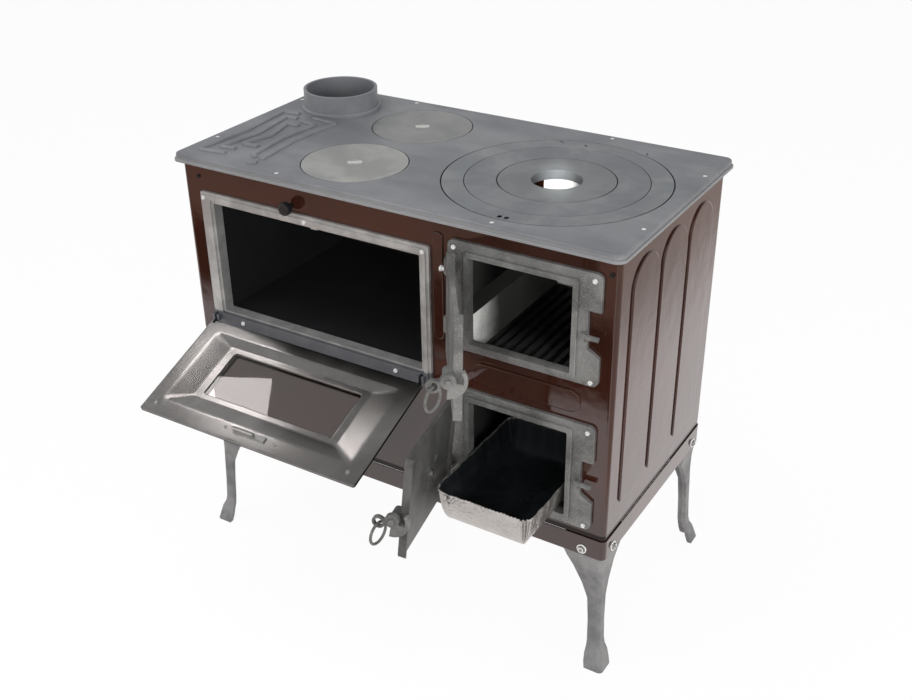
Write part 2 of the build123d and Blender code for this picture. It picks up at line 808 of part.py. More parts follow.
def oven_frame():
    outer = front_slab(oven_x0, oven_x1, oven_z0, oven_z1, oven_face + oven_step_depth, front, 4.0)
    raised = front_slab(oven_x0 + oven_step, oven_x1 - oven_step, oven_z0 + oven_step,
                        oven_z1 - oven_step, oven_face, oven_face + oven_step_depth, 4.0)
    inner = grown(oven_open, oven_step)
    raised -= front_slab(*inner, oven_face - 1, oven_face + oven_step_depth, 3.0)
    neck = front_slab(*grown(oven_open, oven_neck), front, front + oven_neck_depth, 3.0)
    frame = outer + raised + neck
    frame -= front_slab(*oven_open, oven_face - 1, front + oven_neck_depth + 1, 2.0)
    y, z = oven_pivot()
    reach = oven_ear / 2 + oven_cheek + 0.5
    for x in oven_ear_centres():
        frame += block(x - reach, x + reach, y - oven_cheek_radius, front, z - oven_cheek_radius,
                       z + oven_cheek_radius)
        frame -= block(x - oven_ear / 2 - 0.5, x + oven_ear / 2 + 0.5, y - 20, front + 1,
                       z - oven_cheek_radius - 1, z + oven_cheek_radius + 2)
        frame -= along_x(x - reach - 1, x + reach + 1, y, z, oven_pivot_radius + running)
    for x, z in oven_frame_screw_places():
        frame -= front_screw_hole(x, z, oven_face - 1, front + 1)
    return frame + oven_catch_nib()


def oven_frame_screw_places():
    inset = oven_screw_inset
    rows = [(x, oven_z1 - inset) for x in (oven_x0 + inset, catch_x() - 15.0, oven_x1 - inset)]
    low = oven_z0 + oven_rail_bottom / 2
    return rows + [(oven_x0 + oven_screw_side, low), (oven_x1 - oven_screw_side, low)]


def oven_frame_screws():
    return group(screw_facing_front(x, z, oven_face) for x, z in oven_frame_screw_places())


def catch_x():
    return (oven_open[0] + oven_open[1]) / 2 + 4.0


def oven_catch_nib():
    """Nib under the frame's top rail that the door's roller slips behind."""
    z = oven_open[3]
    nib = block(catch_x() - 6, catch_x() + 6, oven_face + 4, oven_face + 9, z - 3.0, z + 1)
    return fillet(nib.edges().filter_by(Axis.X).group_by(Axis.Z)[0], 1.4)


def oven_hinge_pins():
    y, z = oven_pivot()
    reach = oven_ear / 2 + oven_cheek + 0.5
    return group(along_x(x - reach, x + reach, y, z, oven_pivot_radius) for x in oven_ear_centres())


def oven_box():
    x0, x1, z0, z1 = grown(oven_open, oven_clear)
    y0, y1 = panel_back, panel_back + oven_depth
    box = block(x0 - sheet, x1 + sheet, y0, y1, z0 - sheet, z1 + sheet)
    box -= block(x0, x1, y0 - 1, y1 - sheet, z0, z1)
    flange = front_slab(*grown((x0, x1, z0, z1), 7.0), y0, y0 + sheet, 3.0)
    flange -= block(x0, x1, y0 - 1, y0 + 5, z0, z1)
    for x, z in oven_frame_screw_places():
        flange -= front_screw_hole(x, z, y0 - 1, y0 + 5)
    return box + flange


def shut_oven_door():
    """The oven door's pieces as they stand when it is shut."""
    x0 = oven_door_x0()
    x1 = x0 + oven_door_width
    z0 = oven_door_bottom()
    z1 = z0 + oven_door_height
    rear = oven_face - oven_door_gap
    outside = rear - oven_door_thick
    edge = (x0, x1, z0, z1)
    middle_x = (x0 + x1) / 2
    rim_hole = narrowed(edge, pan_rim_side, pan_rim_hinge, pan_rim_free)
    well = narrowed(rim_hole, pan_slope_side, pan_slope_hinge, pan_slope_free)
    window = narrowed(well, window_beside, window_above, window_above)

    # outer skin, dark: thin along the edges, its middle swelled outward
    edge_line = rear - oven_door_edge
    foot, crown = grown(edge, -swell_foot), grown(edge, -swell_crown)
    skin = front_slab(*edge, edge_line, rear - oven_pan, oven_door_corner)
    skin += front_wedge(crown, foot, outside, edge_line)
    skin -= front_slab(*grown(edge, -oven_skin), edge_line + oven_skin, rear + 1,
                       oven_door_corner - 1)
    skin -= front_wedge(grown(crown, -oven_skin), grown(foot, -oven_skin), outside + oven_skin,
                        edge_line + oven_skin)
    skin -= front_slab(*grown(window, -2), outside - 1, rear, 3.0)
    y, z = oven_pivot()
    for x in oven_ear_centres():
        half = oven_ear / 2
        arm = block(x - half, x + half, y - oven_ear_radius, y - 1.0, z, z0 + 6)
        skin += arm + along_x(x - half, x + half, y, z, oven_ear_radius)
        skin -= along_x(x - half - 1, x + half + 1, y, z, oven_pivot_radius + running)

    # pressed inner pan: flat rim, slopes down to the window, one sheet thick
    deep = rear - pan_fall
    pan = front_slab(*edge, rear - oven_pan, rear, oven_door_corner)
    pan -= front_wedge(rim_hole, rim_hole, rear - oven_pan - 1, rear + 1)
    slope = front_wedge(well, rim_hole, deep - oven_pan, rear - oven_pan)
    slope += front_wedge(rim_hole, rim_hole, rear - oven_pan, rear)
    slope -= front_wedge(well, rim_hole, deep, rear)
    slope -= front_wedge(well, well, deep, deep + 0.5)
    slope -= front_wedge(window, window, deep - oven_pan - 1, deep + 1)
    pan += slope
    for x in oven_ear_centres():
        pan -= block(x - oven_ear / 2 - 0.3, x + oven_ear / 2 + 0.3, rear - oven_pan - 1, rear + 1,
                     z0 - 1, z0 + 6.5)

    glass_rear = deep - oven_pan
    glass = front_slab(*grown(window, window_lap), glass_rear - glass_thick, glass_rear, 3.0)

    return {"oven_door_skin": skin, "oven_door_pan": pan, "oven_door_glass": glass,
            "oven_door_gasket": door_rope(window, outside, glass_rear),
            "oven_door_tongue": door_tongue(z1, rear),
            "oven_door_handle": door_handle(middle_x, z1, outside),
            "oven_door_screws": door_screws(edge, rear)}


def door_rope(window, outside, glass_rear):
    """Packing between the glass and the outer skin, round the window."""
    y0, y1 = outside + oven_skin, glass_rear - glass_thick
    strip = front_slab(*grown(window, window_lap), y0, y1, 3.0)
    return strip - front_slab(*grown(window, 2.0), y0 - 1, y1 + 1, 3.0)


def door_tongue(z1, rear):
    """Spring tongue and its housing on the pan's rim, near the free edge."""
    x, z = catch_x(), z1 - tongue_inset
    tongue = block(x + tongue_housing[0], x + tongue_housing[1], rear, rear + 2.4, z - 5, z + 5)
    tongue += along_x(x + tongue_roller[0], x + tongue_roller[1], rear + 4.6, z, 3.0)
    for start in (tongue_roller[0] + 6, tongue_roller[1] - 8):
        tongue += block(x + start, x + start + 2.5, rear + 1, rear + 6, z - 4, z + 4)
    return tongue


def door_handle(x, z1, outside):
    """Bar on two posts, on the outer face near the free edge."""
    z = z1 - handle_inset
    half = handle_length / 2
    y = outside - handle_stand
    bar = along_x(x - half, x + half, y, z, handle_radius)
    bar = fillet(bar.edges(), handle_radius * 0.4)
    posts = [along_y(x + s * (half - 18), y, outside, z, 4.0) for s in (-1, 1)]
    return bar.fuse(*posts)


def door_screws(edge, rear):
    x0, x1, z0, z1 = grown(edge, -pan_screw_inset)
    heads = [along_y(x, rear, rear + 1.6, z1 + 4, 3.2) for x in (x0, x1)]
    middle = catch_x() + sum(tongue_housing) / 2
    heads += [along_y(middle + s * tongue_screw_apart / 2, rear, rear + 1.6,
                      edge[3] - tongue_inset, 2.6) for s in (-1, 1)]
    return group(heads)


def oven_door():
    y, z = oven_pivot()
    return {name: tilted(solid, y, z, oven_door_open)
            for name, solid in shut_oven_door().items()}


# ---------------------------------------------------------------- firebox and ash frames
def hearth_screw_places():
    places = []
    for z0, z1 in ((fire_z0, fire_z1), (ash_z0, ash_z1)):
        for x in (hearth_x0 + frame_screw_inset, hearth_x1 - frame_screw_inset):
            for z in (z0 + frame_screw_inset - 4, z1 - frame_screw_inset):
                places.append((x, z))
    return places


def hinge_heights(z0, z1):
    """Underside of the frame's lugs: the middle of the door plus and minus the spread."""
    middle = (z0 + z1) / 2 - hinge_lower
    return [middle - hinge_spread - lug_height / 2, middle + hinge_spread - lug_height / 2]


def softened(slab):
    """Round the front edges of a casting's slab."""
    return fillet(slab.faces().sort_by(Axis.Y)[0].edges(), edge_soft)


def hinge_middle(z0, z1):
    """Height at which a leaning hinge line stands at its named place."""
    heights = hinge_heights(z0, z1)
    return (heights[0] + heights[1] + lug_height) / 2


def leaned(solid, z0, z1, lean):
    """Lean a piece of a hinge to the right with its hinge line."""
    middle = hinge_middle(z0, z1)
    return Pos(hinge_x, 0, middle) * Rot(0, lean, 0) * Pos(-hinge_x, 0, -middle) * solid


def hinge_shift(z, z0, z1, lean):
    """How far the hinge line stands to the right of its named place at a height."""
    return (z - hinge_middle(z0, z1)) * tan(radians(lean))


def cast_frame(z0, z1, opening, catch_z, lean):
    """Flange with a raised lip round the opening, hinge lugs at the left, a catch at the right."""
    flange = softened(front_slab(hearth_x0, hearth_x1, z0, z1, flange_face, front, frame_corner))
    edge_x = hearth_x1 - notch_depth
    notch = make_face(Polyline((edge_x, catch_z + notch_above), (hearth_x1 + 1, catch_z + notch_above),
                               (hearth_x1 + 1, catch_z - notch_below - notch_chamfer),
                               (edge_x, catch_z - notch_below), close=True))
    flange -= extrude(Plane.XZ.offset(-front - 1) * notch, frame_flange + 2)
    lip = softened(front_slab(*grown(opening, frame_lip), lip_face, flange_face, 5.0))
    neck = front_slab(*grown(opening, frame_neck), front, front + frame_neck_depth, 3.0)
    boss = block(door_x1 + 2, edge_x, catch_y - 4.5, flange_face, catch_z - 6.5, catch_z + 6.5)
    frame = flange + lip + neck + boss
    frame -= front_slab(*opening, lip_face - 1, front + frame_neck_depth + 1, 3.0)
    for z in hinge_heights(z0, z1):
        lug = upright(hinge_x, hinge_y, z, z + lug_height, hinge_radius)
        web = block(hinge_x - hinge_radius, hinge_x + hinge_radius, hinge_y, flange_face + 0.5, z,
                    z + lug_height)
        frame += leaned(lug + web, z0, z1, lean)
        frame -= leaned(upright(hinge_x, hinge_y, z - 1, z + lug_height + 1,
                                hinge_pin_radius + running), z0, z1, lean)
    frame -= along_x(door_x1, edge_x + 1, catch_y, catch_z, catch_radius + running)
    for x, z in hearth_screw_places():
        if z0 < z < z1:
            frame -= front_screw_hole(x, z, flange_face - 1, front + 1)
    return frame


def hearth_frame_screws():
    return group(screw_facing_front(x, z, flange_face) for x, z in hearth_screw_places())


def fire_frame():
    """The firebox frame, with a shallow hole in its upper lug's left end for a bolt."""
    frame = cast_frame(fire_z0, fire_z1, fire_open, fire_z0 + fire_catch_rise, fire_hinge_lean)
    x, z = fire_bolt_place()
    return frame - along_x(x - 1, x + fire_bolt_depth, hinge_y, z, bolt_radius + running)


def fire_bolt_place():
    """Left end of the upper lug and its height."""
    z = hinge_heights(fire_z0, fire_z1)[1] + lug_height / 2
    return hinge_x - hinge_radius + hinge_shift(z, fire_z0, fire_z1, fire_hinge_lean), z


def fire_hinge_bolt():
    """A bolt in the end of the upper lug, its head held off by a sleeve."""
    x, z = fire_bolt_place()
    head = along_x(x - fire_bolt_stand - fire_bolt_length, x - fire_bolt_stand, hinge_y, z,
                   fire_bolt_radius)
    head = fillet(head.edges().group_by(Axis.X)[0], 1.4)
    shank = along_x(x - fire_bolt_stand, x + fire_bolt_depth - 0.2, hinge_y, z, bolt_radius)
    return head + shank


def hinge_pins(z0, z1, lean):
    """A pin up through each lug, with a button under it."""
    pins = []
    for z in hinge_heights(z0, z1):
        shank = upright(hinge_x, hinge_y, z, z + lug_height + knuckle_gap + knuckle_height,
                        hinge_pin_radius)
        button = upright(hinge_x, hinge_y, z - 2.5, z, hinge_pin_radius + 2.0)
        pins.append(leaned(shank + button, z0, z1, lean))
    return group(pins)


def catch_pin(catch_z):
    start = door_x1 + 3
    return along_x(start, start + catch_stand + 6, catch_y, catch_z, catch_radius)


# ---------------------------------------------------------------- cast doors
def shut_cast_door(z0, z1, opening, catch_z, lean):
    """A plate whose rear rims close round the frame's lip, with knuckles and a latch boss."""
    outline = (door_x0, door_x1, opening[2] - door_lap_top, opening[3] + door_lap_top)
    door = softened(front_slab(*outline, door_face, door_back, door_corner))
    hollow = grown(opening, frame_lip + door_rim_gap)
    rim_box = (rim_x0, door_x1, hollow[2], hollow[3])
    sides = front_slab(*rim_box, door_back, door_back + door_rim_depth, door_corner)
    door += sides - block(hollow[0], hollow[1], door_back, door_back + 20, 0, plate_top)
    for z in hinge_heights(z0, z1):
        reach = hinge_x + hinge_radius + hinge_shift(z + lug_height, z0, z1, lean) + lug_relief
        if reach > door_x0:
            door -= block(door_x0 - 1, reach, door_face - 1, door_back + 1, z - 1.5,
                          z + lug_height + knuckle_gap + 1.0)
    for z in hinge_heights(z0, z1):
        low = z + lug_height + knuckle_gap
        knuckle = upright(hinge_x, hinge_y, low, low + knuckle_height, hinge_radius)
        web = block(hinge_x, door_x0 + 7, door_face + 0.2, door_back, low, low + knuckle_height)
        door += leaned(knuckle + web, z0, z1, lean)
        door -= leaned(upright(hinge_x, hinge_y, low - 1, low + knuckle_height + 1,
                               hinge_pin_radius + running), z0, z1, lean)
    pivot_z = catch_z - latch_drop
    boss_end = latch_x - 0.5
    root = door_x1 - latch_boss_root
    boss = along_x(root, boss_end, pivot_y, pivot_z, latch_boss)
    web = block(root, door_x1 - 1, pivot_y, door_face + 1, pivot_z - latch_boss,
                pivot_z + latch_boss)
    door += boss + web
    return door - along_x(root - 1, boss_end + 1, pivot_y, pivot_z, bolt_radius + running)


def latch_bolt(catch_z):
    z = catch_z - latch_drop
    end = latch_x + latch_thick + 0.3
    shank = along_x(door_x1 - latch_boss_root, end, pivot_y, z, bolt_radius)
    head = along_x(end, end + 3.5, pivot_y, z, latch_head_radius)
    return shank + fillet(head.edges().group_by(Axis.X)[-1], 1.5)


def sector(inner, outer, start, end):
    """A flat ring sector between two angles, in degrees, about the origin."""
    a, b, m = radians(start), radians(end), radians((start + end) / 2)

    def at(radius, angle):
        return (radius * cos(angle), radius * sin(angle))

    outline = (Line(at(inner, a), at(outer, a))
               + ThreePointArc(at(outer, a), at(outer, m), at(outer, b))
               + Line(at(outer, b), at(inner, b))
               + ThreePointArc(at(inner, b), at(inner, m), at(inner, a)))
    return make_face(outline)


def shut_latch(catch_z):
    """Hook that comes up behind the catch pin, with a tail that carries the pull ring."""
    arm_wide = 4.0
    flat = Circle(latch_hub) + sector(hook_inner, hook_outer, hook_root - 2, hook_tip)
    flat += sector(latch_hub - 2, hook_outer, -95.0, hook_root)
    tail = Pos(-eye_reach / 2 - 2, -eye_drop / 2) * Rot(0, 0, 19)
    tail *= Rectangle(eye_reach, 2 * arm_wide)
    place = Plane.YZ.offset(latch_x)
    shift = Pos(0, pivot_y, catch_z - latch_drop)
    body = shift * extrude(place * flat, latch_thick)
    body = chamfer(body.edges().group_by(Axis.X)[-1], 0.7)
    thin = tail + Pos(-eye_reach, -eye_drop) * Circle(eye_radius + eye_rim)
    middle = latch_x + (latch_thick - eye_thick) / 2
    body += shift * extrude(Plane.YZ.offset(middle) * thin, eye_thick)
    eye_y, eye_z = pivot_y - eye_reach, catch_z - latch_drop - eye_drop
    body -= along_x(latch_x - 1, latch_x + latch_thick + 1, eye_y, eye_z, eye_radius)
    return body - along_x(latch_x - 1, latch_x + latch_thick + 1, pivot_y, catch_z - latch_drop,
                          bolt_radius + running)


def grip_middle(catch_z, grip_turn):
    """Height of the ring's middle: it hangs low in its eye, less so where it stands aslant."""
    aslant = 0.3 * eye_thick * tan(radians(abs(grip_turn)))
    sink = eye_radius - grip_wire - grip_clear - aslant
    return catch_z - latch_drop - eye_drop - sink - grip_radius


def shut_pull_ring(catch_z, grip_turn):
    x = latch_x + latch_thick / 2
    hoop = Rot(90, 0, 0) * Torus(grip_radius, grip_wire)
    place = Pos(x, pivot_y - eye_reach, grip_middle(catch_z, grip_turn))
    return place * Rot(0, 0, grip_turn) * hoop


def air_ports(y0, y1, x, z, radius):
    holes = []
    for i in range(disc_ports):
        a = radians(45 + 360 / disc_ports * i)
        holes.append(along_y(x + port_circle * cos(a), y0, y1, z + port_circle * sin(a), radius))
    return holes


def ash_disc_centre():
    return (door_x0 + door_x1) / 2 - disc_left, (ash_open[2] + ash_open[3]) / 2


def shut_air_disc():
    """Air regulator: a ported disc that turns over the ports in the ash door."""
    x, z = ash_disc_centre()
    rear = door_face - 0.3
    disc = along_y(x, rear - disc_thick, rear, z, disc_radius)
    disc -= along_y(x, rear - disc_thick - 1, rear + 1, z, bolt_radius + running)
    tab = along_y(x, rear - disc_thick - 9, rear - disc_thick, z + disc_radius - 7, 3.5)
    disc += tab
    for hole in air_ports(rear - disc_thick - 1, rear + 1, x, z, port_radius):
        disc -= hole
    return disc


def shut_air_bolt():
    x, z = ash_disc_centre()
    outer = door_face - 0.3 - disc_thick - 0.3
    shank = along_y(x, outer, door_back, z, bolt_radius)
    head = along_y(x, outer - 4, outer, z, head_radius + 2)
    nut = along_y(x, door_back, door_back + 4, z, head_radius)
    return head + shank + nut


def shut_ash_door():
    door = shut_cast_door(ash_z0, ash_z1, ash_open, ash_z0 + ash_catch_rise, ash_hinge_lean)
    x, z = ash_disc_centre()
    for hole in air_ports(door_face - 1, door_back + 1, x, z, port_radius):
        door -= hole
    return door - along_y(x, door_face - 1, door_back + 1, z, bolt_radius + running)


def swung(solid, z0, z1, lean, degrees):
    """Open a cast door's piece about its leaning hinge line."""
    line = Axis((hinge_x, hinge_y, hinge_middle(z0, z1)), (sin(radians(lean)), 0,
                                                           cos(radians(lean))))
    return solid.rotate(line, -degrees)


def fire_door_pieces():
    catch_z = fire_z0 + fire_catch_rise
    shut = {"fire_door": shut_cast_door(fire_z0, fire_z1, fire_open, catch_z, fire_hinge_lean),
            "fire_latch_bolt": latch_bolt(catch_z), "fire_latch": shut_latch(catch_z),
            "fire_pull_ring": shut_pull_ring(catch_z, fire_grip_turn)}
    return {name: swung(solid, fire_z0, fire_z1, fire_hinge_lean, fire_door_open)
            for name, solid in shut.items()}


def ash_door_pieces():
    catch_z = ash_z0 + ash_catch_rise
    shut = {"ash_door": shut_ash_door(), "ash_latch_bolt": latch_bolt(catch_z),
            "ash_latch": shut_latch(catch_z),
            "ash_pull_ring": shut_pull_ring(catch_z, ash_grip_turn),
            "air_disc": shut_air_disc(), "air_disc_bolt": shut_air_bolt()}
    return {name: swung(solid, ash_z0, ash_z1, ash_hinge_lean, ash_door_open)
            for name, solid in shut.items()}


# ---------------------------------------------------------------- hearth
def hearth_front():
    plate = block(shell_x0, shell_x1, panel_back, panel_back + hearth_sheet,
                  floor_top - hearth_sheet, underside)
    for rect in front_openings():
        x0, x1, z0, z1 = grown(rect, frame_neck + 0.3)
        plate -= block(x0, x1, front, front + 9, z0, z1)
    for x, z in hearth_screw_places():
        plate -= front_screw_hole(x, z, front, front + 9)
    return plate


def hearth_shell():
    """Steel box round the fire and the ashes, open at the front, the top and over its left wall."""
    y0 = panel_back + hearth_sheet
    t = hearth_sheet
    shell = block(shell_x0, shell_x1, y0, shell_y1, floor_top - t, skin_under)
    shell -= block(shell_x0 + t, shell_x1 - t, y0 - 1, shell_y1 - t, floor_top, skin_under + 1)
    shell -= block(shell_x0 - 1, shell_x0 + t + 1, y0 - 1, shell_y1 - t, grate_top
                   + shell_left_height, skin_under + 1)
    return shell - block(shell_x0 - 1, shell_x1 + 1, y0 - 1, front + rim_land + 0.3, underside,
                         skin_under + 1)


def brick_y0():
    return front + frame_neck_depth + 2.0


def firebrick_side(side):
    inner = shell_x0 + hearth_sheet if side < 0 else shell_x1 - hearth_sheet
    x0, x1 = (inner, inner + brick) if side < 0 else (inner - brick, inner)
    tall = brick_left_height if side < 0 else brick_right_height
    return block(x0, x1, brick_y0(), shell_y1 - hearth_sheet - brick, grate_top, grate_top + tall)


def firebrick_rear():
    y1 = shell_y1 - hearth_sheet
    return block(shell_x0 + hearth_sheet, shell_x1 - hearth_sheet, y1 - brick, y1, grate_top,
                 skin_under - brick_top_gap)


def grate():
    """Cast grate with bars from front to back."""
    x0, x1 = shell_x0 + hearth_sheet + 0.5, shell_x1 - hearth_sheet - 0.5
    y0, y1 = brick_y0(), shell_y1 - hearth_sheet - 0.5
    plate = block(x0, x1, y0, y1, grate_bottom, grate_top)
    pitch = grate_bar + grate_slot
    clear = x1 - x0 - 2 * (brick + 3)
    count = int((clear + grate_bar) // pitch)
    start = (x0 + x1) / 2 - ((count - 1) * pitch) / 2
    slots = [block(start + i * pitch - grate_slot / 2, start + i * pitch + grate_slot / 2,
                   y0 + 16, y1 - brick - 8, grate_bottom - 1, grate_top + 1)
             for i in range(count)]
    return plate.cut(*slots)


def hearth_ledges():
    """Two ledges that carry the grate and two runners that carry the ash pan."""
    y0, y1 = brick_y0(), shell_y1 - hearth_sheet
    x0, x1 = shell_x0 + hearth_sheet, shell_x1 - hearth_sheet
    z0 = grate_bottom - ledge_height
    rails = [block(x0, x0 + ledge_width, y0, y1, z0, grate_bottom),
             block(x1 - ledge_width, x1, y0, y1, z0, grate_bottom)]
    for s in (-1, 1):
        x = pan_middle() + s * pan_width / 4
        rails.append(block(x - runner_width / 2, x + runner_width / 2, y0, y1, floor_top,
                           floor_top + runner_height))
    return group(rails)


def pan_middle():
    return (open_x0 + open_x1) / 2


def pan_hull(inset, z0, z1):
    """Tapered tray body with generous corners."""
    y = pan_front + pan_length / 2
    faces = []
    for z, taper in ((z0, pan_taper), (z1, 0.0)):
        wide = pan_width - 2 * (taper + inset)
        deep = pan_length - 2 * (taper + inset)
        faces.append(Pos(pan_middle(), y, z) * RectangleRounded(wide, deep, pan_corner - inset))
    return loft(faces, ruled=True)


def ash_pan():
    """Thin foil tray with a rolled rim."""
    top = pan_bottom + pan_height
    body = pan_hull(0, pan_bottom, top) - pan_hull(pan_wall, pan_bottom + pan_wall, top + 0.01)
    y = pan_front + pan_length / 2
    rim = extrude(Pos(pan_middle(), y, top - 2.0)
                  * RectangleRounded(pan_width + 2 * pan_rim_out, pan_length + 2 * pan_rim_out,
                                     pan_corner + pan_rim_out), 2.0)
    hole = extrude(Pos(pan_middle(), y, top - 3.0)
                   * RectangleRounded(pan_width - 2 * pan_wall - 1, pan_length - 2 * pan_wall - 1,
                                      pan_corner), 5.0)
    return body + (rim - hole)


# ---------------------------------------------------------------- smoke damper
def damper_pieces():
    """A pull rod through the front with a gate plate in the smoke passage over the oven."""
    knob_rear = front - damper_gap
    knob = along_y(damper_x, knob_rear - damper_knob_length, knob_rear, damper_z,
                   damper_knob_radius)
    knob = fillet(knob.edges(), 4.0)
    end = panel_back + oven_depth - gate_inset
    rod = along_y(damper_x, knob_rear, end, damper_z, damper_rod_radius)
    x0, x1 = damper_x - damper_width / 2, damper_x + damper_width / 2
    gate = block(x0, x1, end, end + damper_sheet, oven_box_top + 0.3, skin_under - 3)
    return {"damper_knob": knob, "damper_rod": rod, "damper_gate": gate}


# ---------------------------------------------------------------- the whole stove
def stove_nodes():
    fire = (fire_z0, fire_z1)
    ash = (ash_z0, ash_z1)
    fire_catch = fire_z0 + fire_catch_rise
    ash_catch = ash_z0 + ash_catch_rise
    nodes = {
        "top_plate": top_plate(), "plate_screws": plate_screws(), "flue_collar": flue_collar(),
        "lid_front": hot_lid(lid_front_y), "lid_rear": hot_lid(lid_rear_y),
        "ring_outer": ring_outer(), "ring_middle": ring_middle(), "ring_inner": ring_inner(),
        "front_panel": front_panel(), "side_panel_left": side_panel(-1),
        "side_panel_right": side_panel(1), "back_panel": back_panel(),
        "panel_screws": panel_screws(), "base_band": base_band(), "floor_tray": floor_tray(),
        "leg_bolts": leg_bolts(),
        "oven_frame": oven_frame(), "oven_frame_screws": oven_frame_screws(),
        "oven_hinge_pins": oven_hinge_pins(), "oven_box": oven_box(),
        "fire_frame": fire_frame(), "fire_hinge_pins": hinge_pins(*fire, fire_hinge_lean),
        "fire_hinge_bolt": fire_hinge_bolt(), "fire_catch_pin": catch_pin(fire_catch),
        "ash_frame": cast_frame(*ash, ash_open, ash_catch, ash_hinge_lean),
        "ash_hinge_pins": hinge_pins(*ash, ash_hinge_lean), "ash_catch_pin": catch_pin(ash_catch),
        "hearth_frame_screws": hearth_frame_screws(),
        "hearth_front": hearth_front(), "hearth_shell": hearth_shell(),
        "firebrick_left": firebrick_side(-1), "firebrick_right": firebrick_side(1),
        "firebrick_rear": firebrick_rear(), "grate": grate(), "hearth_ledges": hearth_ledges(),
        "ash_pan": ash_pan(),
    }
    for extra in (legs(), oven_door(), fire_door_pieces(), ash_door_pieces(), damper_pieces()):
        nodes.update(extra)
    return nodes


def whole_box(nodes):
    boxes = [shape.bounding_box() for shape in nodes.values()]
    low = [min(getattr(b.min, k) for b in boxes) for k in "XYZ"]
    high = [max(getattr(b.max, k) for b in boxes) for k in "XYZ"]
    return low, high


def place_all(nodes):
    """Move every piece so that the origin is the bottom centre of the whole."""
    low, high = whole_box(nodes)
    shift = (-(low[0] + high[0]) / 2, -(low[1] + high[1]) / 2, -low[2])
    return shift, {name: Pos(*shift) * shape for name, shape in nodes.items()}


shift, placed = place_all(stove_nodes())
os.makedirs("parts", exist_ok=True)
for name, shape in placed.items():
    export_step(shape, f"parts/{name}.step")
print(len(placed), "nodes; origin moved by", [round(v, 3) for v in shift])
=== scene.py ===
import bpy
import math
import numpy as np
from mathutils import Vector, Matrix


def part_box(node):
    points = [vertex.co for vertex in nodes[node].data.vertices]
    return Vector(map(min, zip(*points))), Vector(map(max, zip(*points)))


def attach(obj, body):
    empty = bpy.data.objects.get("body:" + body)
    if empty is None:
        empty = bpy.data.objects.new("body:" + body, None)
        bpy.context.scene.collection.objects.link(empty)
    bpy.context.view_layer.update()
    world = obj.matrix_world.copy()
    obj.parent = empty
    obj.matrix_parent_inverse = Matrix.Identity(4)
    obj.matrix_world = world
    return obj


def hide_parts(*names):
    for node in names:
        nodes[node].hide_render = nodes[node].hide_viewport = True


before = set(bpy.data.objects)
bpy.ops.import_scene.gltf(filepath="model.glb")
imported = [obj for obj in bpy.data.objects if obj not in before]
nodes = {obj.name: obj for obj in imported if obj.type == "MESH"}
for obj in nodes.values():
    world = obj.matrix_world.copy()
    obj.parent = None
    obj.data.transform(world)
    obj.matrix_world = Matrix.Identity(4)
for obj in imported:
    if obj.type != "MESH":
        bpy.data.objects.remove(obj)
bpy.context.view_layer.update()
print("stage: frame loaded,", len(nodes), "nodes")


class Num:
    # a node's value that can stand in a sum: each operator adds one Math node

    def __init__(self, maker, socket):
        self.maker, self.socket = maker, socket

    def math(self, operation, *others):
        return self.maker.maths(operation, self, *others)

    def __add__(self, other): return self.math("ADD", other)
    def __radd__(self, other): return self.math("ADD", other)
    def __sub__(self, other): return self.math("SUBTRACT", other)
    def __rsub__(self, other): return self.maker.maths("SUBTRACT", other, self)
    def __mul__(self, other): return self.math("MULTIPLY", other)
    def __rmul__(self, other): return self.math("MULTIPLY", other)
    def __pow__(self, other): return self.math("POWER", other)

    def step(self, low, high, outLow=0.0, outHigh=1.0):
        # smooth change from outLow to outHigh as the value goes from low to high
        found = self.maker.node("ShaderNodeMapRange", {"interpolation_type": "SMOOTHSTEP"},
                                {0: self, 1: low, 2: high, 3: outLow, 4: outHigh})
        return Num(self.maker, found.outputs[0])


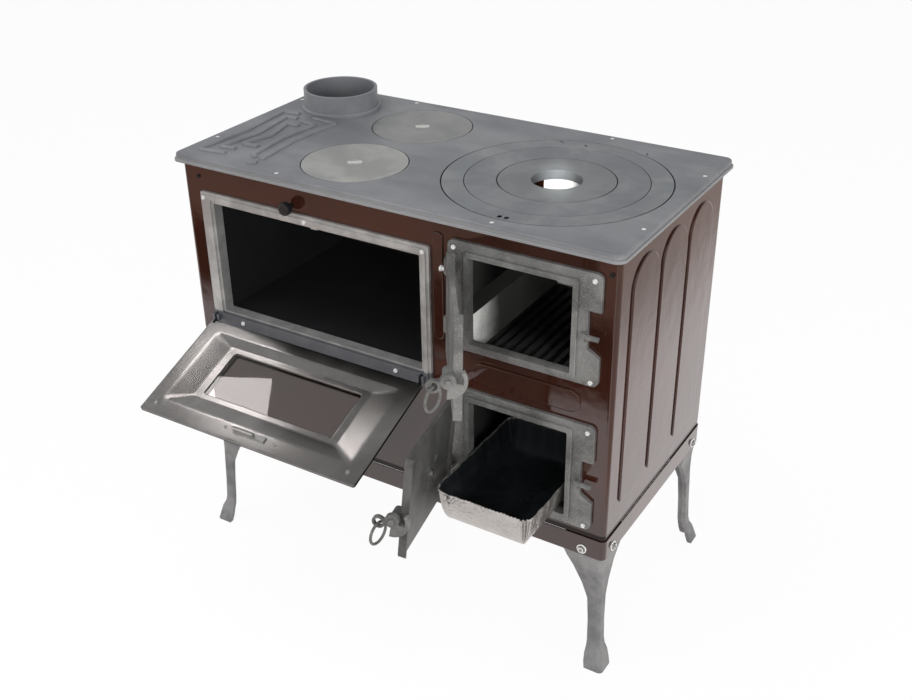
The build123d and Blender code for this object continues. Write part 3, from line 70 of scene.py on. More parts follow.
class Maker:
    # the nodes of one material or world; x, y and z say where a point lies

    def __init__(self, owner, coordinates="Object"):
        self.owner = owner
        owner.use_nodes = True
        self.tree = owner.node_tree
        self.tree.nodes.clear()
        self.place = self.node("ShaderNodeTexCoord").outputs[coordinates]
        axes = self.node("ShaderNodeSeparateXYZ", {}, {0: self.place})
        self.x, self.y, self.z = (Num(self, axes.outputs[i]) for i in range(3))

    def node(self, kind, settings=None, inputs=None):
        made = self.tree.nodes.new(kind)
        for key, value in (settings or {}).items():
            setattr(made, key, value)
        for key, value in (inputs or {}).items():
            socket = made.inputs[key]
            if isinstance(value, Num):
                value = value.socket
            if isinstance(value, bpy.types.NodeSocket):
                self.tree.links.new(value, socket)
            elif socket.type == "RGBA":
                socket.default_value = (*value, 1.0)
            else:
                socket.default_value = value
        return made

    def maths(self, operation, *values):
        made = self.node("ShaderNodeMath", {"operation": operation}, dict(enumerate(values)))
        return Num(self, made.outputs[0])

    def away(self, across, along):
        # distance over two legs at right angles: the root of the sum of their squares
        return (across * across + along * along) ** 0.5

    def noise(self, scale, detail=3.0, rough=0.55, stretch=None, distortion=0.0):
        # noise of so many lumps a metre; stretch scales the three axes first
        where = self.place
        if stretch:
            where = self.node("ShaderNodeMapping", {"vector_type": "POINT"},
                              {"Vector": where, "Scale": stretch}).outputs[0]
        made = self.node("ShaderNodeTexNoise", {}, {"Vector": where, "Scale": scale,
                         "Detail": detail, "Roughness": rough, "Distortion": distortion})
        return Num(self, made.outputs[0])

    def cells(self, scale, feature="F1"):
        # distance to the nearest of many scattered points, or to the edge between two of them
        made = self.node("ShaderNodeTexVoronoi", {"feature": feature},
                         {"Vector": self.place, "Scale": scale})
        return Num(self, made.outputs[0])

    def mixColour(self, factor, first, second):
        made = self.node("ShaderNodeMix", {"data_type": "RGBA"}, {0: factor, 6: first, 7: second})
        return made.outputs[2]

    def bump(self, height, distance, strength, normal=None):
        inputs = {"Height": height, "Distance": distance, "Strength": strength}
        if normal is not None:
            inputs["Normal"] = normal
        return self.node("ShaderNodeBump", {}, inputs).outputs[0]

    def glow(self, colour, strength):
        made = self.node("ShaderNodeEmission", {}, {"Color": colour, "Strength": strength})
        return made.outputs[0]

    def mixShader(self, factor, first, second):
        return self.node("ShaderNodeMixShader", {}, {0: factor, 1: first, 2: second}).outputs[0]

    def principled(self, **sockets):
        names = {"colour": "Base Color", "rough": "Roughness", "metal": "Metallic",
                 "normal": "Normal", "specular": "Specular IOR Level",
                 "transmission": "Transmission Weight", "ior": "IOR"}
        inputs = {names[key]: value for key, value in sockets.items()}
        return self.node("ShaderNodeBsdfPrincipled", {}, inputs).outputs[0]

    def surface(self, shader):
        self.node("ShaderNodeOutputMaterial", {}, {0: shader})
        return self.owner

    def finish(self, **sockets):
        return self.surface(self.principled(**sockets))


def newFinish(name):
    return Maker(bpy.data.materials.new(name))


def middleOf(name):
    low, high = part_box(name)
    return ((low.x + high.x) / 2, (low.y + high.y) / 2)


ringCentre = middleOf("ring_outer")
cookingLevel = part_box("lid_front")[1].z   # the lids lie level with the cooking surface
seatShade = {"colour": (0.006, 0.006, 0.007), "depth": (0.0016, 0.0008), "gap": 0.0032,
             "soft": 0.0004}


def underFace(m):
    # 1 under the cooking surface, 0 on it
    deep, shallow = seatShade["depth"]
    return m.z.step(cookingLevel - deep, cookingLevel - shallow, 1.0, 0.0)


def jointShade(m):
    # 1 in the seats of the lids and rings, under the cooking surface; 0 elsewhere
    inside = 0.0
    for name in ("lid_front", "lid_rear", "ring_outer"):
        low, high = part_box(name)
        x, y = middleOf(name)
        reach = (high.x - low.x) / 2 + seatShade["gap"]
        away = m.away(m.x - x, m.y - y)
        inside = m.maths("MAXIMUM", inside, away.step(reach - seatShade["soft"], reach, 1.0, 0.0))
    return inside * underFace(m)


topIron = {"dark": (0.150, 0.157, 0.170), "pale": (0.220, 0.226, 0.236),
           "speck": (0.33, 0.34, 0.35), "rim": (0.30, 0.302, 0.305), "rimDepth": (0.0115, 0.0050)}


def castIronTop():
    # graphite-rubbed iron: cloudy patches, a fine sand grain, and paler on the rim's lower part
    m = newFinish("castIronTop")
    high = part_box("top_plate")[1].z
    clouds = m.noise(7.0, 4.0, 0.6)
    wipes = m.noise(9.0, 3.0, 0.55, stretch=(1.0, 2.2, 1.0))
    grain = m.noise(620.0, 3.0, 0.65)
    tone = (clouds * 0.6 + wipes * 0.4).step(0.36, 0.66)
    colour = m.mixColour(tone, topIron["dark"], topIron["pale"])
    speck = grain.step(0.60, 0.74)
    colour = m.mixColour(speck * 0.35, colour, topIron["speck"])
    deep, shallow = topIron["rimDepth"]
    rim = m.z.step(high - deep, high - shallow, 1.0, 0.0)
    colour = m.mixColour(rim * 0.55, colour, topIron["rim"])
    colour = m.mixColour(jointShade(m), colour, seatShade["colour"])
    rough = 0.50 + 0.14 * clouds - 0.1 * speck
    normal = m.bump(grain + 0.35 * m.noise(180.0, 2.0), 0.00030, 0.9)
    return m.finish(colour=colour, rough=rough, metal=0.35, normal=normal, specular=0.4)


# grooves in radians a metre, edges as radii
turned = {"groove": 5200.0, "wobble": 0.0006, "grooveColour": (0.42, 0.42, 0.40),
          "lug": (0.50, 0.50, 0.48), "lugEdge": (0.0116, 0.0124), "dishEdge": (0.041, 0.043)}


def turnedIron(name, centre, pale, dark, lug=0.0):
    # a lid or ring turned on a lathe: the sine of the distance from its middle gives fine rings,
    # with smears across them, a bright lug, and painted shade on the sides where they go down
    # into the seat
    m = newFinish(name)
    away = m.away(m.x - centre[0], m.y - centre[1])
    smear = m.noise(11.0, 4.0, 0.6, distortion=0.4)
    groove = ((away + turned["wobble"] * smear) * turned["groove"]).math("SINE")
    grain = m.noise(700.0, 2.0, 0.6)
    colour = m.mixColour(smear.step(0.34, 0.70), dark, pale)
    colour = m.mixColour((groove * 0.5 + 0.5) * 0.10, colour, turned["grooveColour"])
    onLug = away.step(*turned["lugEdge"], 1.0, 0.0)
    colour = m.mixColour(onLug * lug, colour, turned["lug"])
    # painted shade: the sides under the cooking surface, down in the seat, turn near black
    side = away.step(*turned["dishEdge"]) * underFace(m)
    colour = m.mixColour(side, colour, seatShade["colour"])
    rough = 0.42 + 0.2 * smear + 0.05 * groove
    normal = m.bump(groove * 0.25 + grain, 0.00012, 0.7)
    return m.finish(colour=colour, rough=rough, metal=0.45, normal=normal, specular=0.4)


doorIron = {"dark": 0.105, "pale": 0.225, "spark": 0.42, "blue": 0.965}


def castIronDoor(name, litShare):
    # rough sand-cast iron with graphite: dark grey, pitted, with paler sparks
    m = newFinish(name)
    clouds = m.noise(16.0, 4.0, 0.6)
    grain = m.noise(520.0, 4.0, 0.7)
    pits = m.cells(260.0).step(0.10, 0.32)
    # the share passed in scales all the tones; below 1, as on the ash door, it is painted shade
    dark, pale, spark = ((v * litShare, v * litShare, v * litShare * doorIron["blue"])
                         for v in (doorIron["dark"], doorIron["pale"], doorIron["spark"]))
    colour = m.mixColour(clouds.step(0.35, 0.68), dark, pale)
    colour = m.mixColour(grain.step(0.55, 0.68) * 0.65, colour, spark)
    rough = 0.46 + 0.15 * clouds
    normal = m.bump(grain + 0.3 * pits, 0.00060, 1.0)
    return m.finish(colour=colour, rough=rough, metal=0.4, normal=normal, specular=0.4)


def castLeg():
    # silvery grey cast iron with a sandy grain
    m = newFinish("castLeg")
    clouds = m.noise(22.0, 4.0, 0.62)
    grain = m.noise(640.0, 3.0, 0.7)
    colour = m.mixColour(clouds.step(0.34, 0.68), (0.135, 0.137, 0.138), (0.245, 0.245, 0.243))
    colour = m.mixColour(grain.step(0.57, 0.72) * 0.4, colour, (0.40, 0.40, 0.40))
    normal = m.bump(grain, 0.0004, 0.8)
    return m.finish(colour=colour, rough=0.5 + 0.14 * clouds, metal=0.45, normal=normal,
                    specular=0.4)


enamel = {"dark": (0.021, 0.0064, 0.0038), "pale": (0.034, 0.0105, 0.0060),
          "speck": (0.008, 0.003, 0.002), "gloss": 0.62}


def brownEnamel(name, depth):
    # deep brown glass fired on steel: slow waves, a fine orange peel on them, dark specks;
    # depth scales its colour and gloss, and below 1, as on the floor tray, it paints shade
    m = newFinish(name)
    drift = m.noise(5.0, 3.0, 0.5)
    speck = m.noise(420.0, 2.0, 0.5).step(0.64, 0.72)
    wave = m.noise(26.0, 2.0, 0.5)
    peel = m.noise(240.0, 2.0, 0.5)
    dark, pale = (tuple(v * depth for v in enamel[tone]) for tone in ("dark", "pale"))
    colour = m.mixColour(drift.step(0.35, 0.65), dark, pale)
    colour = m.mixColour(speck * 0.5, colour, enamel["speck"])
    normal = m.bump(wave, 0.0010, 0.35)
    normal = m.bump(peel, 0.00003, 0.5, normal)
    return m.finish(colour=colour, rough=0.04 + 0.03 * drift, normal=normal,
                    specular=enamel["gloss"] * depth)


def blackEnamel(name, colour, rough, specular):
    # drifts up to nearly twice as pale as the colour, and a fine grain
    m = newFinish(name)
    drift = m.noise(12.0, 3.0, 0.6)
    grain = m.noise(380.0, 2.0, 0.5)
    tone = m.mixColour(drift, colour, tuple(c * 1.9 for c in colour))
    normal = m.bump(grain, 0.00006, 0.5)
    return m.finish(colour=tone, rough=rough + 0.12 * drift, normal=normal, specular=specular)


def stainlessSheet():
    # rolled sheet: noise drawn out along x is its brushing, with faint smears over it
    m = newFinish("stainlessSheet")
    brush = m.noise(60.0, 3.0, 0.6, stretch=(0.35, 26.0, 26.0))
    smear = m.noise(7.0, 4.0, 0.6, distortion=0.6)
    colour = m.mixColour(smear.step(0.35, 0.7), (0.36, 0.35, 0.34), (0.52, 0.51, 0.50))
    rough = 0.13 + 0.06 * brush + 0.06 * smear
    normal = m.bump(brush, 0.00001, 0.3)
    return m.finish(colour=colour, rough=rough, metal=1.0, normal=normal)


ovenFrame = {"dark": (0.34, 0.345, 0.34), "pale": (0.48, 0.485, 0.475),
             "rail": (0.085, 0.092, 0.110), "railTop": (0.024, 0.028)}


def ovenFrameMetal():
    # dull light metal; under railTop, a painted reflection makes its lower rail darker and bluish
    m = newFinish("ovenFrameMetal")
    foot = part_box("oven_frame")[0].z
    cloud = m.noise(30.0, 4.0, 0.6)
    colour = m.mixColour(cloud.step(0.35, 0.68), ovenFrame["dark"], ovenFrame["pale"])
    start, end = ovenFrame["railTop"]
    # painted reflection: the lower rail turns darker and bluish
    rail = m.z.step(foot + start, foot + end, 1.0, 0.0) * 0.85
    colour = m.mixColour(rail, colour, ovenFrame["rail"])
    return m.finish(colour=colour, rough=0.30 + 0.15 * cloud, metal=0.55,
                    normal=m.bump(m.noise(500.0, 3.0, 0.6), 0.0002, 0.6), specular=0.4)


def zincSteel():
    # small zinc-plated fittings: cloudy bright grey
    m = newFinish("zincSteel")
    cloud = m.noise(320.0, 3.0, 0.6)
    colour = m.mixColour(cloud, (0.50, 0.50, 0.49), (0.74, 0.74, 0.72))
    return m.finish(colour=colour, rough=0.26 + 0.2 * cloud, metal=1.0,
                    normal=m.bump(cloud, 0.00006, 0.5))


def paleScrew():
    # nearly white zinc, a little rough
    m = newFinish("paleScrew")
    cloud = m.noise(900.0, 2.0, 0.6)
    colour = m.mixColour(cloud.step(0.4, 0.6), (0.55, 0.55, 0.54), (0.85, 0.85, 0.84))
    return m.finish(colour=colour, rough=0.40, metal=0.25, normal=m.bump(cloud, 0.0001, 0.6))


# places from the corners of the base band, edges as radii
bolt = {"fromSide": 0.0380, "fromFront": 0.0315, "up": 0.011, "headEdge": (0.0048, 0.0052),
        "gapEdge": (0.0060, 0.0066)}


def legBolt():
    # a bright head, a dark gap round it and a pale washer, by the distance from the nearest axis:
    # the bolts of the front and back are fromSide in from the sides, the others fromFront in
    m = newFinish("legBolt")
    low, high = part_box("base_band")
    up = m.z - (low.z + bolt["up"])
    away = m.away(m.x.math("ABSOLUTE") - (high.x - bolt["fromSide"]), up)
    for y in (low.y + bolt["fromFront"], high.y - bolt["fromFront"]):
        away = away.math("MINIMUM", m.away(m.y - y, up))
    head = away.step(*bolt["headEdge"], 1.0, 0.0)
    gap = away.step(*bolt["gapEdge"], 1.0, 0.0)
    cloud = m.noise(320.0, 3.0, 0.6)
    colour = m.mixColour(gap, (0.78, 0.78, 0.76), (0.02, 0.02, 0.02))
    colour = m.mixColour(head, colour, (0.55, 0.55, 0.54))
    return m.finish(colour=colour, rough=0.35 + 0.2 * cloud, metal=head * 0.9,
                    normal=m.bump(cloud, 0.00006, 0.5))


def blackSteel():
    # blackened steel, slightly cloudy
    m = newFinish("blackSteel")
    cloud = m.noise(90.0, 3.0, 0.6)
    colour = m.mixColour(cloud, (0.012, 0.012, 0.013), (0.035, 0.034, 0.033))
    return m.finish(colour=colour, rough=0.3 + 0.2 * cloud, metal=0.6,
                    normal=m.bump(m.noise(700.0), 0.00008, 0.5))


brick = {"dark": (0.76, 0.76, 0.72), "pale": (0.88, 0.88, 0.86), "iron": (0.32, 0.22, 0.13),
         "pore": (0.36, 0.34, 0.30), "darkening": (0.020, 0.021, 0.018), "shadeBack": (0.006, 0.080),
         "darkTop": (0.0016, 0.0006)}


def fireBrick(name, darkened):
    # pressed refractory brick: cream, with pores and iron specks; it is darker from the level of
    # the left brick's top up, and painted shade darkens it with the distance back from the front
    # of the grate
    m = newFinish(name)
    body = m.noise(30.0, 5.0, 0.65)
    pores = m.cells(330.0).step(0.12, 0.36)
    iron = m.noise(170.0, 2.0, 0.5).step(0.66, 0.74)
    back = m.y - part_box("grate")[0].y + 0.05 * (m.noise(14.0, 3.0, 0.6) - 0.5)
    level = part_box("firebrick_left")[1].z
    start, end = brick["darkTop"]
    onTop = m.z.step(level - start, level - end)
    # painted shade growing back from the grate's front, joined with the darkening from the left
    # brick's top level up
    darkening = m.maths("MAXIMUM", back.step(*brick["shadeBack"]), onTop) * darkened
    colour = m.mixColour(body.step(0.3, 0.7), brick["dark"], brick["pale"])
    colour = m.mixColour(iron * 0.6, colour, brick["iron"])
    colour = m.mixColour((1.0 - pores) * 0.45, colour, brick["pore"])
    colour = m.mixColour(darkening * 0.96, colour, brick["darkening"])
    return m.finish(colour=colour, rough=0.88, normal=m.bump(body + 0.8 * pores, 0.0006, 0.9),
                    specular=0.25)


def grateIron():
    # grate and shell inside the fire: sooty iron, with painted shade that turns it black towards
    # the back
    m = newFinish("grateIron")
    cloud = m.noise(26.0, 4.0, 0.6)
    grain = m.noise(500.0, 3.0, 0.7)
    colour = m.mixColour(cloud, (0.030, 0.030, 0.029), (0.085, 0.085, 0.082))
    back = m.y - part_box("grate")[0].y
    # painted shade: black towards the back, away from the light at the front
    colour = m.mixColour(back.step(0.035, 0.125), colour, (0.004, 0.004, 0.004))
    return m.finish(colour=colour, rough=0.65 + 0.2 * cloud, metal=0.3,
                    normal=m.bump(grain, 0.0005, 0.8))


def trayInside():
    # foil, nearly black, with faint wipes drawn out along y
    m = newFinish("trayInside")
    cloud = m.noise(14.0, 4.0, 0.6, stretch=(1.0, 0.35, 1.0))
    fine = m.noise(260.0, 3.0, 0.6)
    colour = m.mixColour(cloud.step(0.45, 0.8), (0.006, 0.007, 0.008), (0.028, 0.030, 0.034))
    return m.finish(colour=colour, rough=0.42 + 0.2 * fine, specular=0.25,
                    normal=m.bump(fine, 0.00012, 0.6))


def aluminiumFoil():
    # pressed foil: bright, creased along the edges of cells, with a finer crumple on that
    m = newFinish("aluminiumFoil")
    crease = m.cells(95.0, "DISTANCE_TO_EDGE").step(0.0, 0.22)
    fine = m.noise(310.0, 3.0, 0.6)
    dull = m.noise(18.0, 3.0, 0.6)
    colour = m.mixColour(dull, (0.26, 0.255, 0.24), (0.50, 0.49, 0.47))
    normal = m.bump(crease, 0.0009, 0.6)
    normal = m.bump(fine, 0.00025, 0.6, normal)
    return m.finish(colour=colour, rough=0.26 + 0.2 * dull, metal=0.9, normal=normal)


def ovenGlass():
    # clear pane with a slight smoke tint
    m = newFinish("ovenGlass")
    m.owner.blend_method = "BLEND"
    return m.finish(colour=(0.80, 0.74, 0.72), rough=0.015, transmission=1.0, ior=1.5)


def wovenPacking():
    # the product of two sines on crossing slants is the weave, with fuzz over it
    m = newFinish("wovenPacking")
    weave = ((m.x + m.z) * 2600.0).math("SINE") * ((m.x - m.z) * 2600.0).math("SINE")
    fuzz = m.noise(900.0, 3.0, 0.7)
    colour = m.mixColour(weave * 0.4 + 0.5, (0.20, 0.19, 0.18), (0.46, 0.45, 0.42))
    return m.finish(colour=colour, rough=0.92, normal=m.bump(weave + fuzz, 0.0005, 0.9))


finishes = {
    "top": castIronTop(), "leg": castLeg(),
    # the ash door's copy of the door iron at 0.55 is painted shade
    "door": castIronDoor("castIronDoor", 1.0), "ashDoor": castIronDoor("castIronAshDoorShaded", 0.55),
    # the floor tray's copy of the enamel at 0.3 is painted shade
    "enamel": brownEnamel("brownEnamel", 1.0), "trayRim": brownEnamel("brownTrayRimShaded", 0.3),
    "stainless": stainlessSheet(), "ovenFrame": ovenFrameMetal(), "glass": ovenGlass(),
    "zinc": zincSteel(), "paleScrew": paleScrew(), "legBolt": legBolt(),
    "blackSteel": blackSteel(), "packing": wovenPacking(),
    # the rear brick is left without the painted shade and without the top darkening
    "brick": fireBrick("fireBrick", 1.0), "plainBrick": fireBrick("fireBrickPlain", 0.0),
    "grate": grateIron(), "foil": aluminiumFoil(), "trayInside": trayInside(),
    "ovenInside": blackEnamel("ovenInside", (0.010, 0.010, 0.011), 0.30, 0.14),
    "doorEdge": blackEnamel("doorEdge", (0.005, 0.005, 0.005), 0.5, 0.05),
    "lidFront": turnedIron("lidFrontIron", middleOf("lid_front"), (0.36, 0.36, 0.345),
                           (0.235, 0.238, 0.232), 1.0),
    "lidRear": turnedIron("lidRearIron", middleOf("lid_rear"), (0.245, 0.246, 0.242),
                          (0.155, 0.160, 0.162), 1.0),
    "ringOuter": turnedIron("ringOuterIron", ringCentre, (0.225, 0.235, 0.242),
                            (0.135, 0.145, 0.157)),
    "ringMiddle": turnedIron("ringMiddleIron", ringCentre, (0.205, 0.215, 0.225),
                             (0.120, 0.128, 0.142)),
    "ringInner": turnedIron("ringInnerIron", ringCentre, (0.185, 0.195, 0.198),
                            (0.120, 0.128, 0.135)),
}
nodeFinish = {
    "top": ["top_plate", "flue_collar"],
    "lidFront": ["lid_front"], "lidRear": ["lid_rear"], "ringOuter": ["ring_outer"],
    "ringMiddle": ["ring_middle"], "ringInner": ["ring_inner"],
    "enamel": ["front_panel", "side_panel_left", "side_panel_right", "back_panel", "base_band"],
    "trayRim": ["floor_tray"],
    "leg": ["leg_front_left", "leg_front_right", "leg_rear_left", "leg_rear_right",
            "fire_latch_bolt", "ash_latch_bolt"],
    "stainless": ["oven_door_pan"], "ovenFrame": ["oven_frame"],
    "ovenInside": ["oven_box"], "doorEdge": ["oven_door_skin"], "glass": ["oven_door_glass"],
    "packing": ["oven_door_gasket"],
    "door": ["fire_frame", "ash_frame", "fire_door", "fire_latch", "ash_latch",
             "fire_pull_ring", "ash_pull_ring", "air_disc", "fire_hinge_pins",
             "ash_hinge_pins", "fire_catch_pin", "ash_catch_pin"],
    "ashDoor": ["ash_door"],
    "brick": ["firebrick_left", "firebrick_right"], "plainBrick": ["firebrick_rear"],
    "grate": ["grate", "hearth_ledges", "hearth_front", "hearth_shell", "damper_gate"],
    "blackSteel": ["damper_knob", "damper_rod", "oven_door_handle", "panel_screws"],
    "foil": ["ash_pan"],
    "legBolt": ["leg_bolts"],
    "paleScrew": ["plate_screws", "oven_frame_screws", "hearth_frame_screws",
                  "fire_hinge_bolt"],
    "zinc": ["oven_hinge_pins", "oven_door_tongue", "oven_door_screws", "air_disc_bolt"],
}
for finishName, names in nodeFinish.items():
    for name in names:
        mesh = nodes[name].data
        mesh.materials.clear()
        mesh.materials.append(finishes[finishName])
print("stage: finishes on the nodes")


def gridMesh(name, points):
    # faces between rows of points, each row a closed loop: a face goes from row i, column j to
    # row i + 1 and to column j + 1, which starts again at 0 after the last
    rows, columns = points.shape[:2]
    i, j = np.indices((rows - 1, columns)).reshape(2, -1)
    here, below, across = i * columns, (i + 1) * columns, (j + 1) % columns
    quads = np.stack([here + j, below + j, below + across, here + across], 1)
    mesh = bpy.data.meshes.new(name)
    mesh.from_pydata(points.reshape(-1, 3).tolist(), [], quads.tolist())
    mesh.update()
    mesh.polygons.foreach_set("use_smooth", np.ones(len(mesh.polygons), dtype=bool))
    return mesh


def addPiece(name, mesh, finish, body, slotName, *replaced):
    piece = bpy.data.objects.new(name, mesh)
    bpy.context.scene.collection.objects.link(piece)
    mesh.materials.append(finishes[finish])
    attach(piece, body)
    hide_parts(*replaced)


def flatSheet(name, corners, material):
    # one four-sided face on its own
    mesh = bpy.data.meshes.new(name)
    mesh.from_pydata(corners, [], [(0, 1, 2, 3)])
    mesh.materials.append(material)
    sheet = bpy.data.objects.new(name, mesh)
    bpy.context.scene.collection.objects.link(sheet)
    return sheet


def roundedLoop(halfX, halfY, radius, perCorner, perSide):
    # a rectangle with rounded corners, anticlockwise: a quarter circle about each of four centres
    # and a straight side after it. Gives the points, their outward directions, and a weight that
    # is the sine of the way through a corner, from 0 to pi, and 0 on a side
    centres = np.array([(1, 1), (-1, 1), (-1, -1), (1, -1)]) * (halfX - radius, halfY - radius)
    share = np.linspace(0, 1, perSide + 2)[1:-1, None]
    points, outward, onCorner = [], [], []
    for k, centre in enumerate(centres):
        angle = np.linspace(0, math.pi / 2, perCorner) + k * math.pi / 2
        facing = np.stack([np.cos(angle), np.sin(angle)], 1)
        arc = centre + radius * facing
        end = centres[(k + 1) % 4] + radius * facing[-1]
        points += [arc, arc[-1] * (1 - share) + end * share]
        outward += [facing, np.repeat(facing[-1:], perSide, 0)]
        onCorner += [np.sin(np.linspace(0, math.pi, perCorner)), np.zeros(perSide)]
    return np.concatenate(points), np.concatenate(outward), np.concatenate(onCorner)


# widths are given for the left and right edges, then for the hinge edge and the free edge
doorPan = {"alongDoor": 0.009, "underAxis": 0.002, "depth": 0.0040, "sheet": 0.0015,
           "bend": 0.14, "bendPoints": 7, "corners": (0.004, 0.010, 0.006, 0.004),
           "rim": (0.027, 0.027, 0.022, 0.031), "slope": (0.0435, 0.0435, 0.016, 0.025),
           "border": (0.0145, 0.0145, 0.010, 0.010)}


def doorPlane():
    # the open oven door's inner face: the left end of its hinge edge, then along that edge, down
    # the door and out of the face
    low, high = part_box("oven_hinge_pins")
    glass = nodes["oven_door_glass"]
    normal = glass.matrix_world.to_3x3() @ max(glass.data.polygons, key=lambda f: f.area).normal
    out = Vector((0.0, normal.y, normal.z)).normalized()
    out = out if out.z > 0 else -out
    down = Vector((0.0, -out.z, out.y))
    pivot = Vector((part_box("oven_door_pan")[0].x, (low.y + high.y) / 2, (low.z + high.z) / 2))
    start = pivot + down * doorPan["alongDoor"] - out * doorPan["underAxis"]
    return start, Vector((1, 0, 0)), down, out


def makeDoorPan():
    # a profile of rectangular loops: from the outer edge over the rim, down the slope and over
    # the border to the window, then back one sheet deeper. A quadratic curve cuts each of the
    # profile's corners: start (1 - t)^2 + corner 2t (1 - t) + end t^2
    low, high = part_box("oven_door_pan")
    origin, along, down, out = doorPlane()
    width = high.x - low.x
    length = (high.y - low.y - doorPan["sheet"] * abs(out.y)) / abs(down.y)
    insets = np.cumsum([(0, 0, 0, 0), doorPan["rim"], doorPan["slope"], doorPan["border"]], 0)
    depths = np.array([0.0, 0.0, doorPan["depth"], doorPan["depth"]])

    def loops(lower):
        # middle, half sizes, corner radius and depth of the rectangle that each inset leaves
        start, end = insets[:, (0, 2)], (width, length) - insets[:, (1, 3)]
        return np.column_stack([(start + end) / 2, (end - start) / 2, doorPan["corners"],
                                depths + lower])

    outside, inside = loops(0.0), loops(doorPan["sheet"])
    profile = np.concatenate([inside[:1], outside, inside[::-1]])
    path, bend = [profile[0]], doorPan["bend"]
    for before, here, after in zip(profile, profile[1:], profile[2:]):
        start, end = here + (before - here) * bend, here + (after - here) * bend
        for t in np.linspace(0, 1, doorPan["bendPoints"]):
            path.append(start * (1 - t) ** 2 + here * 2 * t * (1 - t) + end * t * t)
    path.append(profile[-1])
    rows = []
    for u, v, halfU, halfV, radius, depth in path:
        loop, _, _ = roundedLoop(halfU, halfV, radius, 8, 24)
        point = np.array(origin) + (u + loop[:, :1]) * np.array(along)
        rows.append(point + (v + loop[:, 1:]) * np.array(down) - depth * np.array(out))
    mesh = gridMesh("doorPan", np.array(rows))
    addPiece("doorPan", mesh, "stainless", "oven_door", "stainless", "oven_door_pan")


makeDoorPan()
print("stage: door pan")

# pleats are counted all round, ripples are in radians a metre
foilTray = {"taper": 0.008, "corner": 0.015, "rim": 0.0020, "thick": 0.0009, "sole": 0.0008,
            "cove": 0.006, "foot": 0.004, "rimDown": 0.0012, "floorUp": 0.0010, "pleats": 170,
            "pleatDeep": 0.0016, "pleatSide": 0.10, "pleatMiddle": 2.8, "pleatEdge": 0.75,
            "wander": 0.0007, "ragged": 0.0009, "flareFrom": 0.93, "tornFrom": 0.8,
            "ripple": 0.0006, "ripples": 90}


def makeFoilTray():
    # one closed skin: floor, inner wall, torn upper edge, outer wall and underside. Each row is
    # the rim's loop drawn in by an inset, at a height. The walls are pleated by a sine of the way
    # round, strongest in the corners; more sines of it make them wander and tear the edge
    low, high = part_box("ash_pan")
    midX, midY = (low.x + high.x) / 2, (low.y + high.y) / 2
    rim, taper = foilTray["rim"], foilTray["taper"]
    halfX, halfY = (high.x - low.x) / 2 - rim, (high.y - low.y) / 2 - rim
    loop, outward, onCorner = roundedLoop(halfX, halfY, foilTray["corner"], 46, 70)
    around = np.concatenate([[0], np.cumsum(np.linalg.norm(np.diff(loop, axis=0), axis=1))])
    turn = 2 * math.pi / around[-1]

    def wave(count, phase=0.0):
        return np.sin(around * turn * count + phase)

    pleat = wave(foilTray["pleats"]) + 0.5 * wave(61.0, 2.0 * wave(9.0))
    pleat *= foilTray["pleatDeep"] * (foilTray["pleatSide"]
                                      + (1 - foilTray["pleatSide"]) * onCorner)
    pleat += foilTray["wander"] * (wave(13.0) + 0.6 * wave(31.0, 1.3))
    torn = (wave(83.0) * wave(47.0, 1.0) + 0.6 * wave(127.0)) * foilTray["ragged"]
    top, floor = high.z - foilTray["rimDown"], low.z + foilTray["floorUp"]
    floorShare = (halfX - taper - foilTray["cove"]) / halfX

    def lastPart(t, start):
        # 0 up to start, then evenly up to 1 at the edge
        return max(t - start, 0.0) / (1 - start)

    def wallRow(t, outside):
        # t goes from the floor to the edge; outside is 0 on the inner wall and 1 on the outer
        inset = taper * (1 - t) + foilTray["foot"] * (1 - t) ** 6 - outside * foilTray["thick"]
        push = (foilTray["pleatMiddle"] * t * (1 - t) + foilTray["pleatEdge"] * t) * pleat
        flare = rim * lastPart(t, foilTray["flareFrom"])
        height = floor + (top - floor) * t - outside * (1 - t) * foilTray["sole"]
        return (loop + outward * (push - inset + flare)[:, None],
                height + torn * lastPart(t, foilTray["tornFrom"]))

    ripple = foilTray["ripple"] * np.sin(around * foilTray["ripples"])
    underside = np.full(len(loop), floor - foilTray["sole"])
    rows = [(loop * floorShare * share, floor + ripple * share)
            for share in np.linspace(0.0, 1.0, 16)]
    rows += [wallRow(t, 0.0) for t in np.linspace(0.02, 1.0, 26)]
    inner = len(rows) - 2   # so many rows of faces, up to just under the edge, show the inside
    rows += [wallRow(t, 1.0) for t in np.linspace(1.0, 0.0, 28)]
    rows += [(loop * floorShare * share, underside) for share in np.linspace(0.98, 0.0, 8)]
    grid = np.array([np.column_stack([xy[:, 0] + midX, xy[:, 1] + midY, z]) for xy, z in rows])
    mesh = gridMesh("foilTray", grid)
    addPiece("foilTray", mesh, "foil", "ash_pan", "foil", "ash_pan")
    mesh.materials.append(finishes["trayInside"])
    index = np.repeat((np.arange(len(rows) - 1) < inner).astype(np.int32), len(loop))
    mesh.polygons.foreach_set("material_index", index)


makeFoilTray()
print("stage: foil tray")

white = (1.0, 1.0, 1.0)
# each pair is where one tone turns into the next, in metres along x or y
floorLook = {"half": 40.0, "colour": (0.90, 0.90, 0.90), "dim": (0.20, 0.19, 0.18),
             "paleFrom": (0.30, 0.75), "cameraShare": 0.94, "mirrored": 1.45,
             "bright": (0.98, 0.93, 0.93), "brightFrom": (-0.86, -0.72),
             "dusk": (0.025, 0.018, 0.016), "duskFrom": (-1.24, -1.08),
             "warm": (0.42, 0.27, 0.22), "rightFrom": (0.42, 0.60),
             "beyond": (0.52, 0.44, 0.41), "beyondFrom": (0.66, 0.95)}
room = {"walls": 0.95, "ceiling": 0.26, "rise": (0.42, 0.86)}


